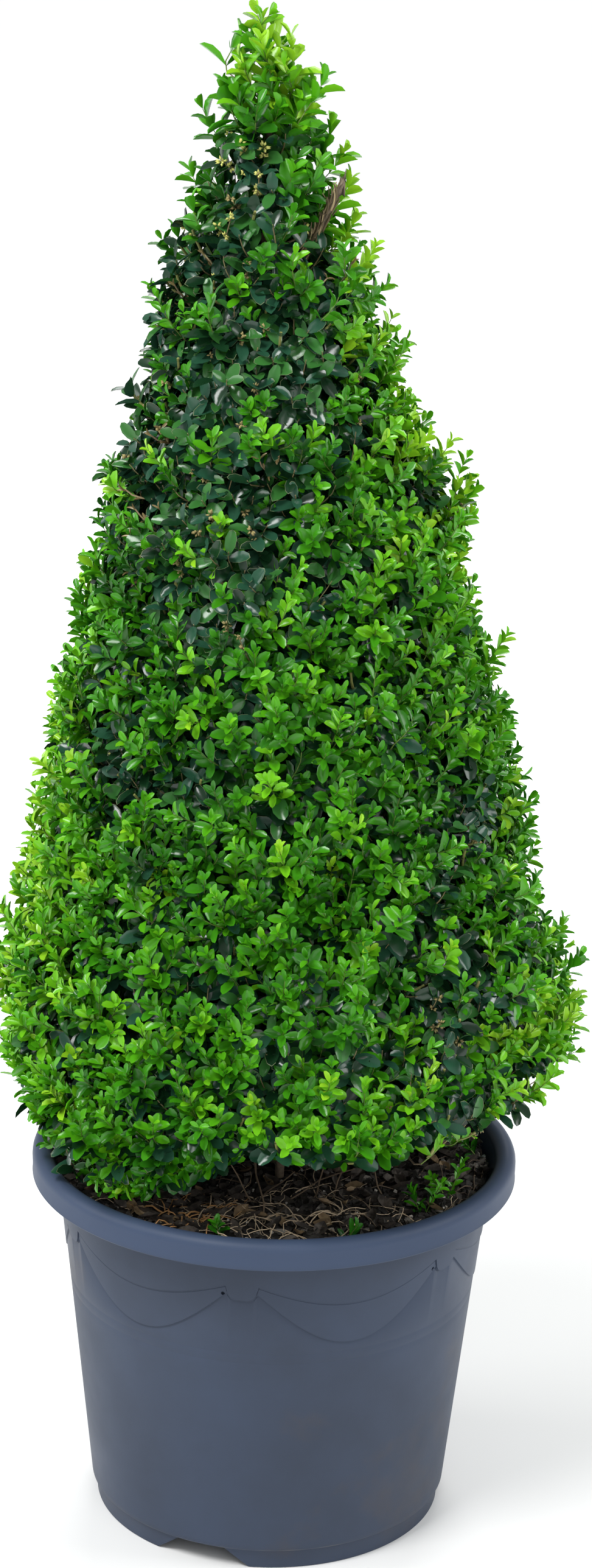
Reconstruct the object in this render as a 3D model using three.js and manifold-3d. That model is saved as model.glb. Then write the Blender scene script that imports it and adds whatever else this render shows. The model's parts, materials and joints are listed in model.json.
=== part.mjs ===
// A boxwood clipped into a cone, growing in a round plastic patio pot.
// Millimetres, +Z up. The origin is on the pot's axis, at the level that the pot stands on.
// An angle is in degrees, and goes round the pot from its front, -Y, towards +X.

import * as THREE from 'three';
import { mergeVertices } from 'three/addons/utils/BufferGeometryUtils.js';
import Module from 'manifold-3d';

const wasm = await Module();
wasm.setup();

// ---------- driving dimensions ----------

const GAP = 0.3; // clearance between pieces that touch on the plant

const RIM = { radius: 201, height: 322, bead: 9, wall: 3, apronFoot: 307 };
const BODY = { neckRadius: 187, ledgeRadius: 156.6, ledgeHeight: 20, wall: 3, segments: 40 };
const FLOOR = { top: 22, underside: 18 };
const FOOT = { radius: 151.7, topRadius: 152.5, topHeight: 18, wall: 3 };
const NOTCH = { angles: [-21.5, 98.5, -141.5], topHalfWidth: 21, footHalfWidth: 43, height: 17 };
const DRAIN = { count: 6, ringRadius: 112, radius: 7 };
const LUG = { angles: [82, -98], width: 24, height: 27, proud: 5.5 };

const SOIL = { height: 318, rimFall: 3, shoulder: 25, lip: 2 };

// The clipped cone. Below its widest level the crown draws in to a ragged hem.
const CROWN = {
  widest: 239, widestHeight: 440, apexHeight: 1322, taperPower: 1.5,
  hemHeight: 345, hemRadius: 206, tip: 1308, segments: 36,
};
// The underside of the low masses is a shallow cone, from its height at the axis to the hem.
const VAULT = { height: 402, hem: 10 };
const HEM_RISE = { front: 38, spread: 50 }; // the hem is higher over the front of the pot
const LEAN = { foot: 2, top: -21, from: 440, to: 1200 };

// Where sprays stand proud of the clipped cone, or were cut in deeper than it.
const LUMPS = [
  { angle: 74, height: 446, reach: 13, spread: 34, turn: 24 },
  { angle: 120, height: 462, reach: 5, spread: 42, turn: 30 },
  { angle: 78, height: 545, reach: 12, spread: 26, turn: 26 },
  { angle: -104, height: 498, reach: 13, spread: 28, turn: 24 },
  { angle: -90, height: 610, reach: -9, spread: 50, turn: 50 },
  { angle: 15, height: 520, reach: 8, spread: 60, turn: 40 },
  { angle: 170, height: 470, reach: 4, spread: 60, turn: 40 },
  { angle: 92, height: 922, reach: 27, spread: 20, turn: 24 },
  { angle: 90, height: 975, reach: -8, spread: 24, turn: 30 },
  { angle: -88, height: 1105, reach: 12, spread: 26, turn: 30 },
  { angle: 85, height: 1225, reach: 12, spread: 34, turn: 60 },
  { angle: -95, height: 1235, reach: 11, spread: 36, turn: 60 },
  { angle: -90, height: 870, reach: -9, spread: 30, turn: 40 },
];

// What the shears left uneven: two waves round the crown that wind up it.
const SHEARED = [
  { depth: 4.0, turns: 5, climb: 118 },
  { depth: 2.4, turns: -8, climb: 61 },
];

// Levels at which one mass of foliage meets the next, and how far each joint waves.
const TIERS = [590, 800, 1000, 1180];
const TIER_WAVE = { depth: 10, turns: 3 };
const LOW_MASSES = 6;

const TRUNK = {
  footRadius: 12, tipRadius: 2.4, flare: 8, flareHeight: 26, tip: 1226, bow: 5, bowAcross: 3,
};

// Stems that come up from the soil beside the trunk, one into each low mass.
const STEMS = [
  { angle: 6, foot: 46, head: 78, footRadius: 4.2, headRadius: 3.4 },
  { angle: 62, foot: 62, head: 112, footRadius: 5.2, headRadius: 4.0 },
  { angle: 124, foot: 48, head: 104, footRadius: 4.8, headRadius: 3.8 },
  { angle: -176, foot: 58, head: 108, footRadius: 5.4, headRadius: 4.2 },
  { angle: -118, foot: 52, head: 106, footRadius: 4.6, headRadius: 3.6 },
  { angle: -50, foot: 133, head: 126, footRadius: 2.6, headRadius: 2.1 },
];
const STEM_SOCKET = 14; // how far a stem's end stands inside its mass

// The bare woody bough that shows among the loose sprays near the top.
const BOUGH = { foot: 1076, head: 1168, angle: 64, reach: 66, footRadius: 4.6, headRadius: 2.8 };

// ---------- helpers ----------

function around(angle, radius, height) {
  const turn = THREE.MathUtils.degToRad(angle);
  return new THREE.Vector3(radius * Math.sin(turn), -radius * Math.cos(turn), height);
}

// Keeps the positions only, with shared corners merged and no triangle shrunk to a line.
function closed(geometry) {
  for (const name of ['normal', 'uv']) geometry.deleteAttribute(name);
  const merged = mergeVertices(geometry, 1e-4);
  const corners = merged.index.array;
  const kept = [];
  for (let i = 0; i < corners.length; i += 3) {
    const [a, b, c] = corners.slice(i, i + 3);
    if (a !== b && b !== c && c !== a) kept.push(a, b, c);
  }
  merged.setIndex(kept);
  return merged;
}

function solid(geometry) {
  const whole = closed(geometry);
  return new wasm.Manifold(new wasm.Mesh({
    numProp: 3,
    vertProperties: new Float32Array(whole.attributes.position.array),
    triVerts: new Uint32Array(whole.index.array),
  }));
}

function geometryOf(manifold) {
  const mesh = manifold.getMesh();
  const geometry = new THREE.BufferGeometry();
  geometry.setAttribute('position', new THREE.BufferAttribute(mesh.vertProperties, 3));
  geometry.setIndex(Array.from(mesh.triVerts));
  geometry.computeVertexNormals();
  return geometry;
}

// A turned solid about the vertical axis, from a profile of [radius, height] pairs.
function turned(profile, segments) {
  const points = profile.map(([radius, height]) => new THREE.Vector2(radius, height));
  return new THREE.LatheGeometry(points, segments).rotateX(Math.PI / 2);
}

// Moves every corner of a geometry by a rule on its angle, radius and height.
function reshape(geometry, rule) {
  const position = geometry.attributes.position;
  const point = new THREE.Vector3();
  for (let i = 0; i < position.count; i += 1) {
    point.fromBufferAttribute(position, i);
    const radius = Math.hypot(point.x, point.y);
    const angle = THREE.MathUtils.radToDeg(Math.atan2(point.x, -point.y));
    const moved = rule(angle, radius, point.z);
    position.setXYZ(i, moved.x, moved.y, moved.z);
  }
  return geometry;
}

function arc(centre, radius, fromDegrees, toDegrees, steps) {
  return Array.from({ length: steps + 1 }, (_, i) => {
    const turn = THREE.MathUtils.degToRad(fromDegrees + (toDegrees - fromDegrees) * i / steps);
    return [centre[0] + radius * Math.cos(turn), centre[1] + radius * Math.sin(turn)];
  });
}

// A limb with level rings, so that it starts and ends in a flat cut.
function limb(centreAt, radiusAt, sides, steps) {
  const geometry = new THREE.CylinderGeometry(1, 1, 1, sides, steps).rotateX(Math.PI / 2);
  const position = geometry.attributes.position;
  for (let i = 0; i < position.count; i += 1) {
    const along = position.getZ(i) + 0.5;
    const centre = centreAt(along);
    const radius = radiusAt(along);
    position.setXYZ(
      i, centre.x + position.getX(i) * radius, centre.y + position.getY(i) * radius, centre.z,
    );
  }
  return geometry;
}

function mix(from, to, share) {
  return from + (to - from) * share;
}

// ---------- pot ----------

function potProfile() {
  const bead = [RIM.radius, RIM.height];
  const innerBead = RIM.bead - RIM.wall;
  return [
    [0, FLOOR.underside],
    [FOOT.radius - FOOT.wall, FLOOR.underside],
    [FOOT.radius - FOOT.wall, 0],
    [FOOT.radius, 0],
    [FOOT.topRadius, FOOT.topHeight],
    [BODY.ledgeRadius, BODY.ledgeHeight],
    [BODY.neckRadius, RIM.apronFoot],
    ...arc(bead, innerBead, 180, 0, 3),
    [RIM.radius + innerBead, RIM.apronFoot],
    [RIM.radius + RIM.bead, RIM.apronFoot],
    ...arc(bead, RIM.bead, 0, 180, 6),
    [BODY.neckRadius - BODY.wall, RIM.apronFoot],
    [BODY.ledgeRadius - BODY.wall, FLOOR.top],
    [0, FLOOR.top],
  ];
}

function notchCutter(angle) {
  const outline = new THREE.Shape([
    new THREE.Vector2(-NOTCH.footHalfWidth, 0),
    new THREE.Vector2(NOTCH.footHalfWidth, 0),
    new THREE.Vector2(NOTCH.topHalfWidth, NOTCH.height),
    new THREE.Vector2(-NOTCH.topHalfWidth, NOTCH.height),
  ]);
  const depth = FOOT.radius / 3;
  const cutter = new THREE.ExtrudeGeometry(outline, { depth, bevelEnabled: false });
  // The cut starts just under the foot and runs out past the skirt.
  cutter.scale(1, 1 + 1 / NOTCH.height, 1).translate(0, -1, 0);
  cutter.rotateX(Math.PI / 2).translate(0, -FOOT.radius + depth * 0.75, 0);
  return cutter.rotateZ(THREE.MathUtils.degToRad(angle));
}

function drainCutter(angle) {
  const depth = 3 * (FLOOR.top - FLOOR.underside);
  const cutter = new THREE.CylinderGeometry(DRAIN.radius, DRAIN.radius, depth, 12);
  const centre = around(angle, DRAIN.ringRadius, (FLOOR.top + FLOOR.underside) / 2);
  return cutter.rotateX(Math.PI / 2).translate(centre.x, centre.y, centre.z);
}

// The outer radius of the pot's wall at a height, up to the foot of the apron.
function outsideRadius(height) {
  const share = (height - BODY.ledgeHeight) / (RIM.apronFoot - BODY.ledgeHeight);
  return mix(BODY.ledgeRadius, BODY.neckRadius, share);
}

// A block under the rim for a handle, rooted in the middle of the wall.
function lug(angle) {
  const foot = RIM.apronFoot - LUG.height;
  const head = RIM.apronFoot + BODY.wall;
  const face = BODY.neckRadius + LUG.proud;
  const outline = new THREE.Shape([
    new THREE.Vector2(outsideRadius(foot) - BODY.wall / 2, foot),
    new THREE.Vector2(face, foot),
    new THREE.Vector2(face, head),
    new THREE.Vector2(BODY.neckRadius, head),
    new THREE.Vector2(BODY.neckRadius - BODY.wall / 2, RIM.apronFoot),
  ]);
  const block = new THREE.ExtrudeGeometry(outline, { depth: LUG.width, bevelEnabled: false });
  block.translate(0, 0, -LUG.width / 2).rotateX(Math.PI / 2).rotateZ(-Math.PI / 2);
  return block.rotateZ(THREE.MathUtils.degToRad(angle));
}

function potGeometry() {
  let pot = solid(turned(potProfile(), BODY.segments));
  for (const angle of NOTCH.angles) pot = pot.subtract(solid(notchCutter(angle)));
  for (let i = 0; i < DRAIN.count; i += 1) {
    pot = pot.subtract(solid(drainCutter((360 / DRAIN.count) * (i + 0.5))));
  }
  for (const angle of LUG.angles) pot = pot.add(solid(lug(angle)));
  return geometryOf(pot);
}

// ---------- soil ----------

function insideRadius(height) {
  const share = (height - FLOOR.top) / (RIM.apronFoot - FLOOR.top);
  return mix(BODY.ledgeRadius, BODY.neckRadius, share) - BODY.wall;
}

function soilGeometry() {
  const neck = insideRadius(RIM.apronFoot);
  const profile = [
    [0, FLOOR.top + GAP],
    [insideRadius(FLOOR.top) - GAP, FLOOR.top + GAP],
    [neck - GAP, RIM.apronFoot],
    [neck + SOIL.lip, SOIL.height - SOIL.rimFall],
    [neck - SOIL.shoulder, SOIL.height],
    [0, SOIL.height],
  ];
  return geometryOf(solid(turned(profile, BODY.segments)));
}

// ---------- crown ----------

function crownRadius(height) {
  if (height < CROWN.widestHeight) {
    const drop = (CROWN.widestHeight - height) / (CROWN.widestHeight - CROWN.hemHeight);
    return CROWN.widest - (CROWN.widest - CROWN.hemRadius) * drop ** 1.5;
  }
  const climb = (height - CROWN.widestHeight) / (CROWN.apexHeight - CROWN.widestHeight);
  return CROWN.widest * (1 - climb ** CROWN.taperPower);
}

function lean(height) {
  return mix(LEAN.foot, LEAN.top, (height - LEAN.from) / (LEAN.to - LEAN.from));
}

function turnBetween(a, b) {
  return THREE.MathUtils.euclideanModulo(a - b + 180, 360) - 180;
}

// How far the surface stands out from the even cone, at an angle and a height.
function proud(angle, height) {
  const girth = Math.min(1, 2 * crownRadius(height) / CROWN.widest);
  let reach = 0;
  for (const wave of SHEARED) {
    const phase = THREE.MathUtils.degToRad(angle) * wave.turns + height / wave.climb * Math.PI;
    reach += wave.depth * girth * Math.sin(phase);
  }
  for (const lump of LUMPS) {
    const up = (height - lump.height) / lump.spread;
    const sideways = turnBetween(angle, lump.angle) / lump.turn;
    reach += lump.reach * Math.exp(-0.5 * (up * up + sideways * sideways));
  }
  return reach;
}

// Lifts the hem over the front of the pot, and leaves the crown above it as it is.
function hemLift(angle, height) {
  const share = Math.min(1, Math.max(0, CROWN.widestHeight - height)
    / (CROWN.widestHeight - CROWN.hemHeight));
  const sideways = turnBetween(angle, 0) / HEM_RISE.spread;
  return HEM_RISE.front * share * Math.exp(-0.5 * sideways * sideways);
}

// The joint between two tiers waves up and down round the crown.
function tierWave(angle, height) {
  const level = TIERS.find((joint) => Math.abs(joint - height) < 2 * GAP);
  if (level === undefined) return 0;
  const phase = THREE.MathUtils.degToRad(angle) * TIER_WAVE.turns + level;
  return TIER_WAVE.depth * Math.sin(phase);
}

function growOut(angle, radius, height) {
  const share = Math.min(1, radius / crownRadius(height));
  const out = radius + proud(angle, height) * share;
  const lifted = height + hemLift(angle, height) + tierWave(angle, height) * share;
  const point = around(angle, out, lifted);
  point.x += lean(lifted);
  return point;
}

// A tier of the crown from its profile, turned half a facet so that no wedge cuts along an edge.
function tier(profile) {
  const even = turned(profile, CROWN.segments).rotateZ(Math.PI / CROWN.segments);
  return solid(reshape(even, growOut));
}

// The crown's side from one level to the next.
function side(from, to, steps) {
  return Array.from({ length: steps + 1 }, (_, i) => {
    const height = mix(from, to, i / steps);
    return [crownRadius(height), height];
  });
}

function skirtProfile() {
  return [
    [0, VAULT.height],
    [CROWN.hemRadius - VAULT.hem, CROWN.hemHeight + VAULT.hem],
    ...side(CROWN.hemHeight, CROWN.widestHeight, 3),
    ...side(CROWN.widestHeight, TIERS[0], 3).slice(1),
    [0, TIERS[0]],
  ];
}

// ---------- trunk, stems and bough ----------

function trunkCentre(height) {
  const share = (height - SOIL.height) / (TRUNK.tip - SOIL.height);
  const sway = Math.sin(share * Math.PI * 2);
  return new THREE.Vector3(lean(height) + TRUNK.bow * sway, TRUNK.bowAcross * sway, height);
}

function trunkRadius(height) {
  const share = (height - SOIL.height) / (TRUNK.tip - SOIL.height);
  const flare = TRUNK.flare * Math.exp(-(height - SOIL.height) / TRUNK.flareHeight);
  return mix(TRUNK.footRadius, TRUNK.tipRadius, share) + flare;
}

function trunkGeometry(clear) {
  const foot = SOIL.height + GAP;
  // The rings lie closer together at the foot, where the trunk flares.
  const heightAt = (along) => mix(foot, TRUNK.tip + clear, along ** 1.3);
  return limb(
    (along) => trunkCentre(heightAt(along)),
    (along) => trunkRadius(heightAt(along)) + clear,
    10, 16,
  );
}

// The height of the low masses' underside at an angle and a radius.
function vaultAt(angle, radius) {
  const share = radius / (CROWN.hemRadius - VAULT.hem);
  const height = mix(VAULT.height, CROWN.hemHeight + VAULT.hem, share);
  return height + hemLift(angle, height);
}

function stemGeometry(stem, clear) {
  const foot = SOIL.height + GAP;
  const head = vaultAt(stem.angle, stem.head) + STEM_SOCKET;
  // The end that makes room for the stem runs on along the same line, past the stem's head.
  const end = 1 + clear / (head - foot);
  return limb(
    (along) => around(
      stem.angle, mix(stem.foot, stem.head, (along * end) ** 1.4), mix(foot, head, along * end),
    ),
    (along) => mix(stem.footRadius, stem.headRadius, along) + clear,
    8, 6,
  );
}

function boughGeometry(clear) {
  const root = trunkCentre(BOUGH.foot);
  const away = around(BOUGH.angle, 1, 0);
  const start = trunkRadius(BOUGH.foot) + BOUGH.footRadius + 3 * GAP;
  return limb(
    (along) => new THREE.Vector3(
      root.x + away.x * mix(start, BOUGH.reach, along ** 0.8),
      root.y + away.y * mix(start, BOUGH.reach, along ** 0.8),
      mix(BOUGH.foot, BOUGH.head, along),
    ),
    (along) => mix(BOUGH.footRadius, BOUGH.headRadius, along) + clear,
    8, 6,
  );
}

// ---------- masses of foliage ----------

// A wedge from the crown's axis outwards, moved out so that neighbours keep their gap.
function wedge(angle, turn) {
  const far = CROWN.widest * 2;
  const side = far * Math.tan(THREE.MathUtils.degToRad(turn / 2));
  const outline = new THREE.Shape([
    new THREE.Vector2(0, 0), new THREE.Vector2(-side, -far), new THREE.Vector2(side, -far),
  ]);
  const blank = new THREE.ExtrudeGeometry(outline, { depth: TIERS[1], bevelEnabled: false });
  const apex = GAP / 2 / Math.sin(THREE.MathUtils.degToRad(turn / 2));
  blank.translate(0, -apex, 0).rotateZ(THREE.MathUtils.degToRad(angle));
  return blank.translate(LEAN.foot, 0, 0);
}

function foliage() {
  const trunkRoom = solid(trunkGeometry(GAP));
  const boughRoom = solid(boughGeometry(GAP));
  const masses = [];

  const skirt = tier(skirtProfile()).subtract(trunkRoom);
  const turn = 360 / LOW_MASSES;
  for (let i = 0; i < LOW_MASSES; i += 1) {
    let share = skirt.intersect(solid(wedge(i * turn, turn)));
    for (const stem of STEMS) share = share.subtract(solid(stemGeometry(stem, GAP)));
    masses.push([`foliage_low_${i + 1}`, share]);
  }

  const tops = [...TIERS.slice(1), CROWN.tip];
  const names = ['foliage_middle', 'foliage_shoulder', 'foliage_upper', 'foliage_tip'];
  names.forEach((name, i) => {
    const from = TIERS[i] + GAP;
    const mass = tier([[0, from], ...side(from, tops[i], 4), [0, tops[i]]]);
    masses.push([name, mass.subtract(trunkRoom).subtract(boughRoom)]);
  });
  return masses;
}

// ---------- the plant in its pot ----------

const plant = new THREE.Group();

function place(name, geometry, color, roughness) {
  const material = new THREE.MeshStandardMaterial({ color, roughness, metalness: 0 });
  const mesh = new THREE.Mesh(geometry, material);
  mesh.name = name;
  plant.add(mesh);
}

place('pot', potGeometry(), 0x4e5867, 0.55);
place('potting_soil', soilGeometry(), 0x241c16, 0.95);
place('trunk', geometryOf(solid(trunkGeometry(0))), 0x6d5c46, 0.85);
STEMS.forEach((stem, i) => {
  place(`stem_${i + 1}`, geometryOf(solid(stemGeometry(stem, 0))), 0x6a6142, 0.8);
});
place('upper_bough', geometryOf(solid(boughGeometry(0))), 0x7a6a52, 0.85);

const LEAF_GREENS = [0x3f7a24, 0x4a8a2a, 0x2f5e2a, 0x6f9a34];
foliage().forEach(([name, mass], i) => {
  place(name, geometryOf(mass), LEAF_GREENS[i % LEAF_GREENS.length], 0.6);
});

export default plant;
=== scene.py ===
# %% [markdown]
# # A clipped box plant in its patio pot
# A boxwood cone is a dense, leaning cone of thousands of short leafy shoots. They stand on twigs, the twigs
# on boughs, and the boughs on a few stems that rise from the soil of a moulded plastic pot.
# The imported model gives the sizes: the pot, the limbs, and the masses of foliage with their true outline.
# Here each mass is replaced by what fills it on the real plant, and the rest gets its finish.

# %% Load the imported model
import json
import math

import bpy
import numpy as np
from mathutils import Matrix, Vector, noise
from mathutils.bvhtree import BVHTree
from mathutils.kdtree import KDTree

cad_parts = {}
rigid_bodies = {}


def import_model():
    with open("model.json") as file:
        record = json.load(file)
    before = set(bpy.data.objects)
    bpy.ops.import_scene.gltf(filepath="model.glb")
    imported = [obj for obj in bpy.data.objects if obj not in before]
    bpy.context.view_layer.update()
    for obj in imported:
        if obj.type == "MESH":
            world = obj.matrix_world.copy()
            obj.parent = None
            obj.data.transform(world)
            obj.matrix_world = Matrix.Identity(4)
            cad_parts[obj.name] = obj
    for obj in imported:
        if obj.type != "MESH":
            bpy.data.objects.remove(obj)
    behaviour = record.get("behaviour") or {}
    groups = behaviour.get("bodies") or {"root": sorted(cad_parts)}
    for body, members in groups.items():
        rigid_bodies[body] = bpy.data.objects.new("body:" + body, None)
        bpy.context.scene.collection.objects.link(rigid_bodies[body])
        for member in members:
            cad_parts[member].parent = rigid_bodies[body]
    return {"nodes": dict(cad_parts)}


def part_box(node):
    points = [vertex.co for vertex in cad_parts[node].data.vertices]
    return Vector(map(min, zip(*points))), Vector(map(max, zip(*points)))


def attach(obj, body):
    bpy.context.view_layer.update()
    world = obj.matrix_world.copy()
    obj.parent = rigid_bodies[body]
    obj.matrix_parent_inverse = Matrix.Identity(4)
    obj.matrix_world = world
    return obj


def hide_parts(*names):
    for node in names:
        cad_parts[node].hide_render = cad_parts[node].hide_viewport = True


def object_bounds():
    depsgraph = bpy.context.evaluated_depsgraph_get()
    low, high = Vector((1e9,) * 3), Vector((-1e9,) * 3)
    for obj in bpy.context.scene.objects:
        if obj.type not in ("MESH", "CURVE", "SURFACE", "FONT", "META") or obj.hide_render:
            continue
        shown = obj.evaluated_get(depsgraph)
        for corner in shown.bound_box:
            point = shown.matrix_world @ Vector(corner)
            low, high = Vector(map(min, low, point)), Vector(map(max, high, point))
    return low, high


MM = 0.001
UP = np.array([0.0, 0.0, 1.0])

for leftover in list(bpy.data.objects):
    bpy.data.objects.remove(leftover)
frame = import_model()
cad_low, cad_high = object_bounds()
print(f"{len(frame['nodes'])} nodes, {(cad_high - cad_low).z:.3f} m tall")

# %% [markdown]
# ## The camera
# The plant is seen from standing height, a few metres off, through a long lens. The camera looks down by
# 18 degrees and is rolled by a little over one. Its place is built up from one move and three turns, so each
# of them can be changed on its own.

# %% Camera
EYE = Vector((0.0, -2.858, 1.577))
LOOK = {"down": 17.83, "right": 0.23, "roll": 1.34}
LENS_MM = 81.9


def turn_about(axis, degrees):
    return Matrix.Rotation(math.radians(degrees), 4, axis)


camera = bpy.data.objects.new("camera", bpy.data.cameras.new("camera"))
camera.data.lens = LENS_MM
camera.data.clip_end = 200.0
camera.matrix_world = (
    Matrix.Translation(EYE)
    @ turn_about("Z", -LOOK["right"])
    @ turn_about("X", 90.0 - LOOK["down"])
    @ turn_about("Z", LOOK["roll"])
)
bpy.context.collection.objects.link(camera)
bpy.context.scene.camera = camera
print("camera at", tuple(round(value, 3) for value in EYE), "lens", LENS_MM)

# %% [markdown]
# ## Ways of making that many pieces share
# A piece is a plain mesh whose object sits at the origin. `settle` gives it to the one body of the plant
# and hides the CAD nodes it stands for.
# Geometry Nodes trees make everything that is repeated or follows a path: `grown` runs a tree on a base mesh,
# with its named inputs, and keeps the result as a plain mesh.

# %% Piece helpers
def piece_from(name, mesh):
    piece = bpy.data.objects.new(name, mesh)
    bpy.context.collection.objects.link(piece)
    return piece


def mesh_from(name, places, faces=(), edges=(), values=None):
    """A mesh from its corners, with named vector or number values kept on them."""
    mesh = bpy.data.meshes.new(name)
    mesh.from_pydata(np.asarray(places).tolist(), list(edges), list(faces))
    for key, value in (values or {}).items():
        kind = "FLOAT_VECTOR" if value.ndim == 2 else "FLOAT"
        layer = mesh.attributes.new(key, kind, "POINT")
        layer.data.foreach_set("vector" if value.ndim == 2 else "value", value.astype(np.float32).ravel())
    return mesh


def smoothed(piece):
    piece.data.polygons.foreach_set("use_smooth", [True] * len(piece.data.polygons))


def settle(piece, slot, *stands_for):
    """Gives a piece to the plant's body and hides the nodes it stands for. The slot is not used."""
    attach(piece, "root")
    if stands_for:
        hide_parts(*stands_for)
    print(f"{piece.name}: {sum(len(face.vertices) - 2 for face in piece.data.polygons)} triangles")
    return piece


def grown(name, base, tree, **inputs):
    """Runs a Geometry Nodes tree on a base mesh and returns the result as a piece."""
    piece = bpy.data.objects.new(name, base)
    modifier = piece.modifiers.new("grow", "NODES")
    modifier.node_group = tree
    for socket in tree.interface.items_tree:
        if socket.name in inputs:
            modifier[socket.identifier] = inputs.pop(socket.name)
    assert not inputs, f"{tree.name} has no input for {sorted(inputs)}"
    bpy.context.collection.objects.link(piece)
    layers = bpy.context.evaluated_depsgraph_get()
    mesh = bpy.data.meshes.new_from_object(piece.evaluated_get(layers), depsgraph=layers)
    piece.modifiers.clear()
    piece.data = mesh
    return piece


def new_tree(name, **sockets):
    """A Geometry Nodes tree with a geometry input, the named inputs, and its input and output nodes."""
    tree = bpy.data.node_groups.new(name, "GeometryNodeTree")
    tree.interface.new_socket("Geometry", in_out="INPUT", socket_type="NodeSocketGeometry")
    for key, kind in sockets.items():
        tree.interface.new_socket(key, in_out="INPUT", socket_type=kind)
    tree.interface.new_socket("Geometry", in_out="OUTPUT", socket_type="NodeSocketGeometry")
    return tree, tree.nodes.new("NodeGroupInput"), tree.nodes.new("NodeGroupOutput")


def wire(tree, kind, options=None, **inputs):
    """Adds a node with its options. An input's value is a socket to link or a plain value."""
    node = tree.nodes.new(kind)
    for key, value in (options or {}).items():
        setattr(node, key, value)
    for key, value in inputs.items():
        named = (s for s in node.inputs if s.enabled and key in (s.identifier, s.name.replace(" ", "_")))
        socket = next(named)
        if isinstance(value, bpy.types.NodeSocket):
            tree.links.new(value, socket)
        else:
            socket.default_value = value
    return node


def kept_value(tree, name, kind):
    """Reads a value that was kept on the corners of the base mesh."""
    node = tree.nodes.new("GeometryNodeInputNamedAttribute")
    node.data_type = kind
    node.inputs["Name"].default_value = name
    return node.outputs["Attribute"]


def skinned(name, grid, closed=True):
    """A skin over rows of points that close round; each end is closed by a fan from its middle."""
    count, columns = grid.shape[:2]
    near = np.arange(columns)
    ahead = (near + 1) % columns
    faces = []
    for row in range(count - 1):
        low, high = row * columns, (row + 1) * columns
        faces += np.stack([low + near, low + ahead, high + ahead, high + near], axis=1).tolist()
    places = list(grid.reshape(-1, 3))
    if closed:
        last = (count - 1) * columns
        faces += [(len(places), int(j), int(i)) for i, j in zip(near, ahead)]
        faces += [(len(places) + 1, last + int(i), last + int(j)) for i, j in zip(near, ahead)]
        places += [grid[0].mean(0), grid[-1].mean(0)]
    return mesh_from(name, places, faces)


print("helpers ready")

# %% [markdown]
# ## The floor, the lamps and the sky
# The floor is one wide pale disc under an even, bright sky. It glows a little more with its distance from the
# plant, and so meets the sky without a grey band, from any side. A large soft lamp from the upper left gives
# the leaves their gloss, and four weaker ones keep every side of the plant readable.

# %% Floor, lamps and sky
FLOOR_RADIUS = 40.0
SKY = {"color": (0.95, 0.98, 1.0, 1.0), "strength": 0.5, "backdrop": 1.0}
LAMPS = [
    {"name": "key", "place": (-1.5, -1.8, 4.0), "size": 1.5, "power": 135.0},
    {"name": "left", "place": (-3.2, 0.0, 2.2), "size": 1.8, "power": 44.0},
    {"name": "right", "place": (3.2, -0.3, 2.4), "size": 1.8, "power": 60.0},
    {"name": "front", "place": (0.9, -3.6, 2.6), "size": 2.4, "power": 30.0},
    {"name": "back", "place": (0.4, 3.0, 3.2), "size": 2.0, "power": 70.0},
]
FLOOR_TONE = {"color": (0.82, 0.82, 0.81), "roughness": 0.7}
FAR_GLOW = {"from": 0.5, "full": 2.6, "strength": 0.6}


def plain_material(name, color, roughness, gloss=0.5):
    material = bpy.data.materials.new(name)
    material.use_nodes = True
    shader = material.node_tree.nodes["Principled BSDF"]
    shader.inputs["Base Color"].default_value = (*color, 1.0)
    shader.inputs["Roughness"].default_value = roughness
    shader.inputs["Specular IOR Level"].default_value = gloss
    return material


bpy.ops.mesh.primitive_circle_add(vertices=64, radius=FLOOR_RADIUS, fill_type="NGON")
floor = bpy.context.object
floor.name = "floor"
pale = plain_material("pale_floor", FLOOR_TONE["color"], FLOOR_TONE["roughness"])
spot = wire(pale.node_tree, "ShaderNodeTexCoord").outputs["Object"]
away = wire(pale.node_tree, "ShaderNodeVectorMath", {"operation": "LENGTH"}, Vector=spot)
glow = wire(
    pale.node_tree, "ShaderNodeMapRange", Value=away.outputs["Value"], From_Min=FAR_GLOW["from"],
    From_Max=FAR_GLOW["full"], To_Max=FAR_GLOW["strength"],
)
pale_shader = pale.node_tree.nodes["Principled BSDF"]
pale_shader.inputs["Emission Color"].default_value = (1.0, 1.0, 1.0, 1.0)
pale.node_tree.links.new(glow.outputs["Result"], pale_shader.inputs["Emission Strength"])
floor.data.materials.append(pale)

world = bpy.data.worlds.new("even_sky")
world.use_nodes = True
sky_nodes, sky_links = world.node_tree.nodes, world.node_tree.links
light_of_sky = sky_nodes["Background"]
backdrop = sky_nodes.new("ShaderNodeBackground")
seen_or_lit = sky_nodes.new("ShaderNodeMixShader")
for shader, strength in ((light_of_sky, SKY["strength"]), (backdrop, SKY["backdrop"])):
    shader.inputs["Color"].default_value = SKY["color"]
    shader.inputs["Strength"].default_value = strength
sky_links.new(sky_nodes.new("ShaderNodeLightPath").outputs["Is Camera Ray"], seen_or_lit.inputs["Fac"])
sky_links.new(light_of_sky.outputs["Background"], seen_or_lit.inputs[1])
sky_links.new(backdrop.outputs["Background"], seen_or_lit.inputs[2])
sky_links.new(seen_or_lit.outputs["Shader"], sky_nodes["World Output"].inputs["Surface"])
bpy.context.scene.world = world
bpy.context.scene.view_settings.view_transform = "Standard"


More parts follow.
